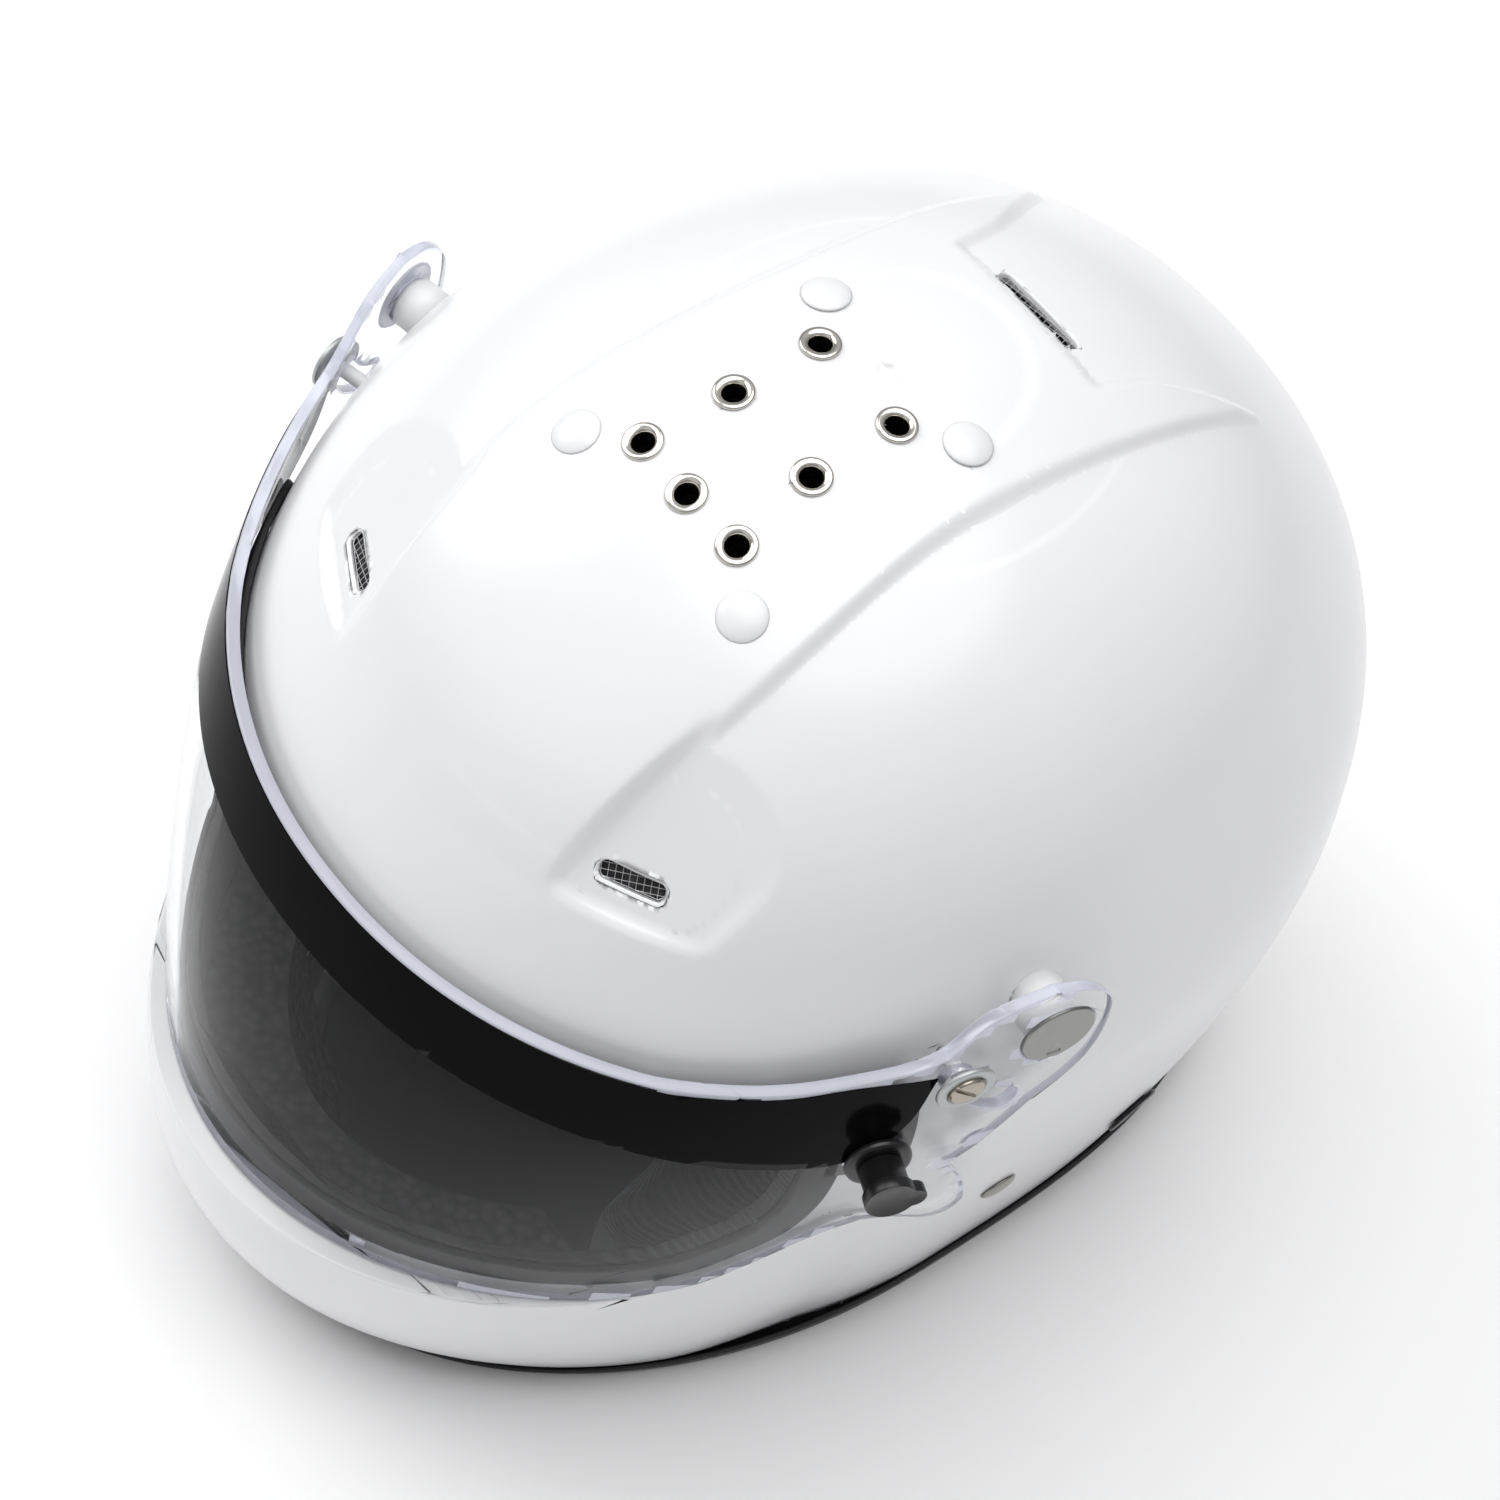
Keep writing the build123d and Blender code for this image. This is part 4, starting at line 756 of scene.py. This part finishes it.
def wire_mesh(half, width, pitch=1.7, wire=0.26):
    """Square wire mesh, a little turned, clipped to a slot."""
    shape = bmesh.new()
    count = int(half * 2 / pitch) + 4
    bmesh.ops.create_grid(shape, x_segments=count, y_segments=count, size=count * pitch / 2)
    bmesh.ops.rotate(shape, matrix=Matrix.Rotation(math.radians(12), 3, "Z"), verts=shape.verts)
    chamfer = width / 2 * math.sqrt(0.5)
    corner = half - width / 2 + chamfer
    for across, side, x, y in ((1, 0, half, 0), (0, 1, 0, width / 2), (1, 1, corner, chamfer),
                               (1, -1, corner, -chamfer)):
        for way in (1, -1):
            bmesh.ops.bisect_plane(shape, geom=shape.verts[:] + shape.edges[:] + shape.faces[:],
                                   plane_co=(x * way, y * way, 0), plane_no=(across * way, side * way, 0),
                                   clear_outer=True)
    bmesh.ops.wireframe(shape, faces=shape.faces, thickness=wire, use_replace=True, use_boundary=True,
                        use_even_offset=False)
    return shape


WIRE_WIDTH = SLOT_WIDTH - 0.1
for side, side_name in zip((1, -1), SIDE_NAMES):
    wires = wire_mesh(8.1, WIRE_WIDTH / math.cos(FLOOR_LEAN))
    lying = (slot_matrix(side) @ Matrix.Translation((0, 0, -3.9 / math.cos(FLOOR_LEAN)))
             @ Matrix.Rotation(-FLOOR_LEAN, 4, "X"))
    bmesh.ops.transform(wires, matrix=lying, verts=wires.verts)
    piece = solid("vent_wires_" + side_name, wires)
    hand_over(piece, "shell", "vent_wire", "front_vent_mesh_" + side_name)
wires = wire_mesh(13.4, WIRE_WIDTH)
rear_top = height_over(0.0, REAR_SLOT_Y, lift=-BAND_RISE)
bmesh.ops.translate(wires, vec=(0, REAR_SLOT_Y, rear_top - 2.1), verts=wires.verts)
hand_over(solid("vent_wires_rear", wires), "shell", "vent_wire", "rear_vent_mesh")

# %% [markdown]
# ## Straps and rings
# The chin straps are woven webbing, riveted to the shell and folded back through two D-rings. Flat
# webbing has thickness and a soft selvedge, so a grid is laid along the strap's line and solidified.

# %% Webbing


LOOP, HALF_WEB = 5.4, 12.3


def webbing(name, side, end, looped):
    """Strap from its rivet down the wall, over the rim and inward."""
    run = [(half_width(STRAP_Y, z, grow=-6.8), z) for z in (82.0, 69.6, 57.2, 44.8, 32.4, 20.0)]
    turn_x = run[-1][0]
    run += [(turn_x - 2.4, 13.0), (turn_x - 9.6, 9.5), (turn_x - 17.0, STRAP_Z), (end + 9.0, STRAP_Z)]
    run = curve_through(run, 6)
    if looped:
        run += [(end + LOOP * math.cos(a), STRAP_Z + LOOP * math.sin(a))
                for a in np.linspace(math.radians(15), math.radians(345), 28)]
    else:
        run += [(end, STRAP_Z)]
    shape = bmesh.new()
    bmesh.ops.create_grid(shape, x_segments=len(run) - 1, y_segments=6, size=1)
    for vert in shape.verts:
        at = round((vert.co.x + 1) / 2 * (len(run) - 1))
        vert.co = (side * run[at][0], STRAP_Y + vert.co.y * HALF_WEB, run[at][1])
    strap = solid(name, shape)
    wall = strap.modifiers.new("wall", "SOLIDIFY")
    wall.thickness, wall.offset = 1.6, 0.0
    edge = strap.modifiers.new("edge", "BEVEL")
    edge.width, edge.segments, edge.limit_method = 0.5, 2, "ANGLE"
    settle(strap)
    strap.data.shade_smooth()
    hand_over(strap, "shell", "strap_webbing", name.replace("webbing", "chin_strap"))


webbing("webbing_left", 1, LOOP_X, True)
webbing("webbing_right", -1, 42.0, False)


def stitches(name, side, start, end):
    """Two rows of thread across a strap, standing a little proud."""
    threads = []
    for x in (start, end):
        for step in range(9):
            y = STRAP_Y - 10.0 + step * 2.5
            shape = bmesh.new()
            bmesh.ops.create_icosphere(shape, subdivisions=2, radius=1)
            bmesh.ops.scale(shape, vec=(0.35, 0.95, 0.3), verts=shape.verts)
            bmesh.ops.translate(shape, vec=(side * x, y, 10.25), verts=shape.verts)
            threads.append(shape)
    piece = solid(name, *threads)
    piece.data.shade_smooth()
    hand_over(piece, "shell", "strap_webbing")


stitches("thread_left", 1, 71.5, 76.0)
stitches("thread_right", -1, 44.5, 49.0)


RING_HALF, RING_WIRE, RING_LIFT = 15.75, 1.7, 2.2


def d_ring(name, lift, node):
    path = [(LOOP_X, STRAP_Y - RING_HALF), (LOOP_X, STRAP_Y + RING_HALF)]
    path += [(LOOP_X - 9.0 - 13.25 * math.sin(a), STRAP_Y + RING_HALF * math.cos(a))
             for a in np.linspace(0, math.pi, 24)]
    line = bpy.data.curves.new(name, "CURVE")
    line.dimensions, line.bevel_depth, line.bevel_resolution = "3D", RING_WIRE, 4
    spline = line.splines.new("POLY")
    spline.points.add(len(path) - 1)
    for point, (x, y) in zip(spline.points, path):
        point.co = (x, y, STRAP_Z + lift, 1)
    spline.use_cyclic_u = True
    maker = add_object(name + "_line", line)
    mesh = bpy.data.meshes.new_from_object(maker.evaluated_get(bpy.context.evaluated_depsgraph_get()))
    bpy.data.objects.remove(maker)
    mesh.shade_smooth()
    hand_over(add_object(name, mesh), "strap_rings", "ring_steel", node)


d_ring("steel_ring_inner", RING_LIFT, "d_ring_inner")
d_ring("steel_ring_outer", -RING_LIFT, "d_ring_outer")

# %% [markdown]
# ## Padding
# The comfort liner and the pads are foam in a knitted cover. A stuffed cover swells between its
# seams, which a block never does. So each pad's solid is copied, remeshed to even squares, and
# inflated for twenty frames as cloth under a little pressure. How far a point may move is capped,
# because the neighbours are close.

# %% Inflate the pads
SQUARE, SWELL = 0.005, 0.0016
soft_pieces = []


def cover(node, name):
    """Even copy of a CAD pad, a little smaller than its place."""
    shape = bmesh.new()
    shape.from_mesh(nodes[node].data)
    bmesh.ops.remove_doubles(shape, verts=shape.verts, dist=1e-5)
    piece = add_object(name, as_mesh(name, shape))
    squares = piece.modifiers.new("squares", "REMESH")
    squares.mode, squares.voxel_size = "VOXEL", SQUARE
    settle(piece)
    calm = piece.modifiers.new("calm", "SMOOTH")
    calm.factor, calm.iterations = 0.5, 4
    settle(piece)
    soft_pieces.append((piece, node))
    return piece


pads = [cover("comfort_liner", "head_liner"), cover("brow_pad", "brow_cushion"),
        cover("cheek_pad_left", "cheek_cushion_left"), cover("cheek_pad_right", "cheek_cushion_right"),
        cover("neck_roll", "neck_cushion")]
for piece in pads:
    cloth = piece.modifiers.new("cloth", "CLOTH")
    cloth.settings.use_pressure = True
    cloth.settings.uniform_pressure_force = 4
    cloth.settings.effector_weights.gravity = 0
    cloth.settings.quality = 5
for step in range(1, 21):
    scene.frame_set(step)
graph = bpy.context.evaluated_depsgraph_get()
for piece in pads:
    swollen = piece.evaluated_get(graph).to_mesh()
    for vert, moved in zip(piece.data.vertices, swollen.vertices):
        shift = moved.co - vert.co
        vert.co += shift.normalized() * min(shift.length, SWELL) if shift.length > 0 else shift
    piece.evaluated_get(graph).to_mesh_clear()
    piece.modifiers.clear()
scene.frame_set(1)
for piece, node in soft_pieces:
    finer = piece.modifiers.new("finer", "SUBSURF")
    finer.levels = finer.render_levels = 1
    piece.data.shade_smooth()
    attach(piece, "shell")
    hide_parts(node)
    print(piece.name, len(piece.data.polygons), "squares")

# %% [markdown]
# ## Finishes
# Good plastic and paint are never one flat value. Each finish below starts from the shader's own
# sockets, then adds what the real surface shows at its true scale: the faint orange peel of gel
# coat, the brushing of a satin disc, the beads of moulded foam. Three effects serve many finishes,
# so they are node groups: grain, wear and weave.

# %% Node groups


def link(tree, source, target):
    tree.links.new(source, target)


def new_node(tree, kind, **values):
    """Node with plain numbers on its inputs."""
    node = tree.nodes.new("ShaderNode" + kind)
    for label, value in values.items():
        node.inputs[label.replace("_", " ")].default_value = value
    return node


def new_group(name, inputs, outputs):
    group = bpy.data.node_groups.new(name, "ShaderNodeTree")
    for label, value in inputs:
        socket = group.interface.new_socket(label, in_out="INPUT", socket_type="NodeSocketFloat")
        socket.default_value = value
    for label in outputs:
        group.interface.new_socket(label, in_out="OUTPUT", socket_type="NodeSocketFloat")
    start, end = group.nodes.new("NodeGroupInput"), group.nodes.new("NodeGroupOutput")
    return group, start, end, new_node(group, "TexCoord").outputs["Object"]


def math_node(group, operation, first, second):
    node = new_node(group, "Math")
    node.operation = operation
    for socket, value in zip(node.inputs, (first, second)):
        if isinstance(value, (int, float)):
            socket.default_value = value
        else:
            link(group, value, socket)
    return node.outputs[0]


def noise_node(group, where, scale, detail=3.0, rough=0.5, stretch=None):
    node = new_node(group, "TexNoise", Detail=detail, Roughness=rough)
    if stretch:
        turn = new_node(group, "Mapping", Scale=stretch)
        link(group, where, turn.inputs["Vector"])
        where = turn.outputs["Vector"]
    link(group, where, node.inputs["Vector"])
    if isinstance(scale, (int, float)):
        node.inputs["Scale"].default_value = scale
    else:
        link(group, scale, node.inputs["Scale"])
    return node.outputs["Fac"]


def ramp_node(group, value, low, high):
    node = new_node(group, "MapRange", From_Min=low, From_Max=high)
    link(group, value, node.inputs["Value"])
    return node.outputs["Result"]


grain, start, end, where = new_group("surface_grain", [("Scale", 900.0)], ["Height", "Tone"])
link(grain, noise_node(grain, where, start.outputs["Scale"], 2.0), end.inputs["Height"])
link(grain, noise_node(grain, where, 14.0, 4.0), end.inputs["Tone"])

wear, start, end, where = new_group("fine_wear", [("Amount", 0.5)], ["Mask", "Height"])
streaks = [ramp_node(wear, noise_node(wear, where, scale, 6.0, 0.7, stretch), 0.62, 0.75)
           for scale, stretch in ((60.0, (1.0, 14.0, 3.0)), (75.0, (12.0, 1.0, 5.0)))]
patch = ramp_node(wear, noise_node(wear, where, 22.0, 3.0), 0.45, 0.7)
marks = math_node(wear, "MULTIPLY", math_node(wear, "MAXIMUM", *streaks), patch)
link(wear, math_node(wear, "MULTIPLY", marks, start.outputs["Amount"]), end.inputs["Mask"])
link(wear, marks, end.inputs["Height"])

weave, start, end, where = new_group("cloth_weave", [("Pitch", 900.0)], ["Height", "Shade"])
waves = []
for direction in ("X", "Y", "Z"):
    node = new_node(weave, "TexWave", Distortion=0.6, Detail=1.0)
    node.wave_type, node.bands_direction = "BANDS", direction
    link(weave, where, node.inputs["Vector"])
    link(weave, start.outputs["Pitch"], node.inputs["Scale"])
    waves.append(node.outputs["Fac"])
crossed = math_node(weave, "MAXIMUM", math_node(weave, "MULTIPLY", waves[0], waves[1]), waves[2])
link(weave, crossed, end.inputs["Height"])
shaded = math_node(weave, "MULTIPLY", crossed, noise_node(weave, where, 40.0, 3.0))
link(weave, shaded, end.inputs["Shade"])
print("groups:", [group.name for group in bpy.data.node_groups])

# %% Finish helpers


def finish(name, color, rough, metal=0.0, **sockets):
    """Material whose constants sit on the shader's own sockets."""
    made = bpy.data.materials.new(name)
    made.use_nodes = True
    shader = made.node_tree.nodes["Principled BSDF"]
    shader.inputs["Base Color"].default_value = (*color, 1)
    shader.inputs["Roughness"].default_value = rough
    shader.inputs["Metallic"].default_value = metal
    for socket, value in sockets.items():
        shader.inputs[socket.replace("_", " ")].default_value = value
    return made


def add_group(made, group, **values):
    """Node of a group, with its inputs set once the group is in."""
    node = new_node(made.node_tree, "Group")
    node.node_tree = group
    for label, value in values.items():
        node.inputs[label].default_value = value
    return node.outputs


def into_shader(made, output, socket):
    link(made.node_tree, output, made.node_tree.nodes["Principled BSDF"].inputs[socket])


def bump(made, height, strength, distance):
    node = new_node(made.node_tree, "Bump", Strength=strength, Distance=distance)
    link(made.node_tree, height, node.inputs["Height"])
    into_shader(made, node.outputs["Normal"], "Normal")


def vary_gloss(made, mask, low, high):
    """Roughness that runs between two values over the surface."""
    node = new_node(made.node_tree, "MapRange", To_Min=low, To_Max=high)
    link(made.node_tree, mask, node.inputs["Value"])
    into_shader(made, node.outputs["Result"], "Roughness")


def ramp_of(tree, value, first, second, low, high):
    """Colour that runs from one tone to another."""
    node = new_node(tree, "ValToRGB")
    for stop, place_at, tone in zip(node.color_ramp.elements, (low, high), (first, second)):
        stop.position, stop.color = place_at, (*tone, 1)
    link(tree, value, node.inputs["Fac"])
    return node


def tint(made, mask, first, second, mask_low=0.3, mask_high=0.7):
    node = ramp_of(made.node_tree, mask, first, second, mask_low, mask_high)
    into_shader(made, node.outputs["Color"], "Base Color")


def wear_in(made, amount=0.5, low=0.3, high=0.5, scale=900.0, strength=0.15, distance=0.00005):
    """Grain for the height, wear for the gloss."""
    grains, marks = add_group(made, grain, Scale=scale), add_group(made, wear, Amount=amount)
    bump(made, grains["Height"], strength, distance)
    vary_gloss(made, marks["Mask"], low, high)
    return grains


def worn(name, color, rough, metal, *wear_values, **sockets):
    made = finish(name, color, rough, metal, **sockets)
    wear_in(made, *wear_values)
    return made


def woven(name, color, rough, pitch, strength, distance, *tones, **sockets):
    """Cloth or laid fibre: the weave makes the height and, given two tones, the colour."""
    made = finish(name, color, rough, **sockets)
    yarn = add_group(made, weave, Pitch=pitch)
    bump(made, yarn["Height"], strength, distance)
    if tones:
        tint(made, yarn["Shade"], *tones)
    return made


print("finish helpers ready")

# %% Paint, plastics and rubber
gelcoat = finish("white_gelcoat", (0.83, 0.835, 0.845), 0.34, Coat_Weight=0.5, Coat_Roughness=0.16,
                 IOR=1.45)
peel = wear_in(gelcoat, 0.5, 0.32, 0.44, 120.0, 0.03, 0.0002)
tint(gelcoat, peel["Tone"], (0.815, 0.82, 0.832), (0.845, 0.848, 0.855))
raw_wall = woven("raw_composite_wall", (0.035, 0.035, 0.037), 0.6, 160.0, 0.4, 0.0003,
                 (0.02, 0.02, 0.021), (0.06, 0.06, 0.062))

rubber = worn("edge_rubber", (0.012, 0.012, 0.013), 0.55, 0.0, 0.6, 0.5, 0.68, 1500.0, 0.25, 0.0001)
seal_rubber = worn("port_seal_rubber", (0.008, 0.008, 0.009), 0.62, 0.0,
                   0.4, 0.58, 0.7, 1800.0, 0.3, 0.0001)
knob_plastic = worn("black_moulded_plastic", (0.011, 0.011, 0.012), 0.32, 0.0,
                    0.7, 0.28, 0.45, 1300.0, 0.12, 0.00006)
bush_plastic = worn("white_bush_plastic", (0.78, 0.785, 0.79), 0.4, 0.0,
                    0.5, 0.36, 0.5, 1200.0, 0.1, 0.00006)
plug_plastic = worn("white_plug_plastic", (0.81, 0.815, 0.82), 0.34, 0.0,
                    0.5, 0.3, 0.42, 1000.0, 0.1, 0.00005, Coat_Weight=0.2, Coat_Roughness=0.2)

# %% [markdown]
# Clear polycarbonate bends light a little more than window glass, and its moulded edge shows a cool
# tint where light has run through it lengthwise. The strip on it is a nearly opaque black film. Both
# keep their transmission and alpha as plain numbers on the shader.

# %% Shield and strip
clear = finish("clear_polycarbonate", (0.975, 0.98, 0.985), 0.0, Transmission_Weight=1.0, IOR=1.16,
               Specular_IOR_Level=0.15)
lit_edge = finish("polycarbonate_edge", (0.8, 0.82, 0.93), 0.2, Transmission_Weight=0.45, IOR=1.5)
for made, low, high in ((clear, 0.0, 0.02), (lit_edge, 0.16, 0.4)):
    vary_gloss(made, add_group(made, wear, Amount=1.0)["Mask"], low, high)
film = worn("black_strip_film", (0.003, 0.003, 0.0035), 0.16, 0.0, 0.6, 0.12, 0.22, 300.0, 0.02, 0.00005,
            Alpha=0.99, IOR=1.2, Specular_IOR_Level=0.2)

# %% Metals
satin = worn("satin_disc_metal", (0.3, 0.3, 0.285), 0.36, 1.0, 0.8, 0.36, 0.52, 1600.0, 0.08, 0.00003,
             Anisotropic=0.5)
alloy = worn("washer_aluminium", (0.5, 0.52, 0.52), 0.5, 0.6, 0.8, 0.4, 0.55, 1500.0, 0.08, 0.00003)
bright = worn("bright_screw_steel", (0.42, 0.38, 0.32), 0.3, 1.0, 0.9, 0.26, 0.42, 1200.0, 0.06, 0.00003)
nickel = worn("nickel_eyelet", (0.72, 0.69, 0.64), 0.16, 1.0, 0.8, 0.13, 0.3, 900.0, 0.05, 0.00003)
brushed = worn("brushed_rivet", (0.33, 0.32, 0.3), 0.36, 1.0, 1.0, 0.32, 0.5, 1400.0, 0.12, 0.00004)
steel = worn("ring_steel", (0.56, 0.56, 0.57), 0.24, 1.0, 0.8, 0.2, 0.4, 1100.0, 0.08, 0.00004)
brass = worn("insert_brass", (0.62, 0.45, 0.2), 0.32, 1.0, 0.7, 0.28, 0.45, 1200.0, 0.1, 0.00004)
black_steel = worn("anchor_black_steel", (0.03, 0.03, 0.032), 0.38, 0.9,
                   0.9, 0.32, 0.5, 1300.0, 0.12, 0.00004)
wire = worn("vent_wire_steel", (0.75, 0.75, 0.76), 0.4, 0.6, 0.6, 0.3, 0.45, 2000.0, 0.1, 0.00003)

# %% Foam and cloth
foam = finish("moulded_bead_foam", (0.03, 0.03, 0.032), 0.75)
beads = new_node(foam.node_tree, "TexVoronoi", Scale=330.0)
link(foam.node_tree, new_node(foam.node_tree, "TexCoord").outputs["Object"], beads.inputs["Vector"])
bump(foam, beads.outputs["Distance"], 0.6, 0.0006)
tint(foam, beads.outputs["Distance"], (0.045, 0.045, 0.047), (0.015, 0.015, 0.016), 0.1, 0.7)
knit = woven("knitted_liner", (0.02, 0.02, 0.022), 0.85, 420.0, 0.5, 0.0004, (0.012, 0.012, 0.013),
             (0.04, 0.04, 0.043), 0.1, 0.6, Sheen_Weight=0.25, Sheen_Roughness=0.5)
ribbon = woven("strap_webbing_cloth", (0.016, 0.016, 0.017), 0.7, 300.0, 0.7, 0.0005,
               (0.008, 0.008, 0.009), (0.035, 0.035, 0.037), 0.1, 0.6, Sheen_Weight=0.15)
thread = woven("grey_thread", (0.25, 0.25, 0.26), 0.6, 1500.0, 0.5, 0.0001, Sheen_Weight=0.2)
print("finishes:", len(bpy.data.materials))

# %% [markdown]
# Each new piece takes the finishes of its slot. A carried-over node keeps its mesh and only has its
# own slots filled, so the frame stays as it was packed.

# %% Dress every piece
FINISHES = {"gelcoat": (gelcoat, raw_wall), "trim_rubber": [rubber], "seal_rubber": [seal_rubber],
            "clear_shield": (clear, lit_edge), "strip_film": [film], "knob_plastic": [knob_plastic],
            "bush_plastic": [bush_plastic], "plug_plastic": [plug_plastic], "satin_disc": [satin],
            "washer_alloy": [alloy], "bright_screw": (bright, bush_plastic), "insert_brass": [brass],
            "eyelet_metal": [nickel], "rivet_metal": [brushed], "anchor_metal": [black_steel],
            "vent_wire": [wire], "ring_steel": [steel], "strap_webbing": [ribbon]}


def dress(piece, *made):
    """Gives a piece its finishes; each face keeps its number."""
    faces = piece.data.polygons
    numbers = np.zeros(len(faces), dtype=np.int32)
    faces.foreach_get("material_index", numbers)
    piece.data.materials.clear()
    for one in made:
        piece.data.materials.append(one)
    faces.foreach_set("material_index", numbers)


for piece, slot in handed:
    dress(piece, *([thread] if piece.name.startswith("thread_") else FINISHES[slot]))
for piece, node in soft_pieces:
    dress(piece, knit)
CARRIED = {"latch_catch": knob_plastic, "pivot_nuts": brass, "latch_pin": bright, "latch_spring": bright,
           "strap_plates": steel, "crown_foam": foam, "chin_foam": foam}
for name, made in CARRIED.items():
    for slot in nodes[name].material_slots:
        slot.material = made
print("dressed", len(handed) + len(soft_pieces) + len(CARRIED), "pieces")

# %% [markdown]
# ## Floor, light and camera
# A white helmet on white needs wide, soft light: a broad source above and behind, and weaker fill
# from the front, so the form turns slowly from light to light grey. The camera looks down from the
# wearer's left, slightly rolled, as the photographer held it.

# %% Stage and light
RIM_HALF_WIDTH, RIM_HALF_LENGTH = 0.09, 0.118
bpy.ops.mesh.primitive_plane_add(size=8.0, location=(0, 0, 0))
floor = bpy.context.object
floor.name = "studio_floor"
paper = finish("pale_paper_painted_shadow", (0.96, 0.96, 0.96), 0.7, Specular_IOR_Level=0.2)
paper_tone = add_group(paper, grain, Scale=60.0)
tree = paper.node_tree
# Painted shadow: the paper is tinted near black inside an ellipse the size of the rim's footprint and
# turns pale near its edge, standing for the shade under the helmet.
spot, reach, shadow_spot_distance = [new_node(tree, kind) for kind in ("TexCoord", "VectorMath", "VectorMath")]
reach.operation, shadow_spot_distance.operation = "MULTIPLY", "LENGTH"
reach.inputs[1].default_value = (1 / RIM_HALF_WIDTH, 1 / RIM_HALF_LENGTH, 0)
painted_shadow_mask = new_node(tree, "MapRange", From_Min=0.85, From_Max=1.0)
link(tree, spot.outputs["Object"], reach.inputs[0])
link(tree, reach.outputs["Vector"], shadow_spot_distance.inputs[0])
link(tree, shadow_spot_distance.outputs["Value"], painted_shadow_mask.inputs["Value"])
# Painted shadow under the helmet: near black inside the ellipse, pale paper outside it.
tint(paper, painted_shadow_mask.outputs["Result"], (0.02, 0.02, 0.02), (0.965, 0.965, 0.965))
bump(paper, paper_tone["Tone"], 0.05, 0.0002)
floor.data.materials.append(paper)


AIM = (0, 0, 0.12)


def soft_light(name, at, size, power):
    lamp = bpy.data.lights.new(name, "AREA")
    lamp.shape, lamp.size, lamp.energy = "DISK", size, power
    look = (Vector(AIM) - Vector(at)).to_track_quat("-Z", "Y")
    add_object(name, lamp).matrix_world = Matrix.Translation(at) @ look.to_matrix().to_4x4()


soft_light("top_light", (0.0, 0.1, 2.3), 2.4, 31.0)
soft_light("right_key", (-1.8, -0.7, 1.5), 1.8, 20.0)
soft_light("front_fill", (-0.3, -2.0, 1.0), 1.8, 2.0)
world = bpy.data.worlds.new("soft_room")
world.use_nodes = True
sky = world.node_tree.nodes["Background"]
sky.inputs["Strength"].default_value = 1.0
tree = world.node_tree
split = new_node(tree, "SeparateXYZ")
link(tree, new_node(tree, "TexCoord").outputs["Generated"], split.inputs["Vector"])
shade = ramp_of(tree, split.outputs["Z"], (0.1, 0.1, 0.102), (0.62, 0.62, 0.63), 0.0, 0.9)
link(tree, shade.outputs["Color"], sky.inputs["Color"])
scene.world = world
scene.view_settings.view_transform = "Standard"

# %% Camera
AZ, EL, ROLL = math.radians(39.184), math.radians(52.269), math.radians(15.783)
back = Vector((math.sin(AZ) * math.cos(EL), -math.cos(AZ) * math.cos(EL), math.sin(EL)))
right = Vector((math.cos(AZ), math.sin(AZ), 0))
up = back.cross(right)
held_right = right * math.cos(ROLL) + up * math.sin(ROLL)
held_up = up * math.cos(ROLL) - right * math.sin(ROLL)
lens = bpy.data.cameras.new("camera")
lens.sensor_width, lens.lens = 36.0, 104.53
lens.shift_x, lens.shift_y = 0.955 / 1500, -5.044 / 1500
camera = add_object("camera", lens)
camera.matrix_world = (Matrix.Translation(Vector((0, -0.0032, 0.13)) + back * 1.084366)
                       @ Matrix([held_right, held_up, back]).transposed().to_4x4())
scene.camera = camera
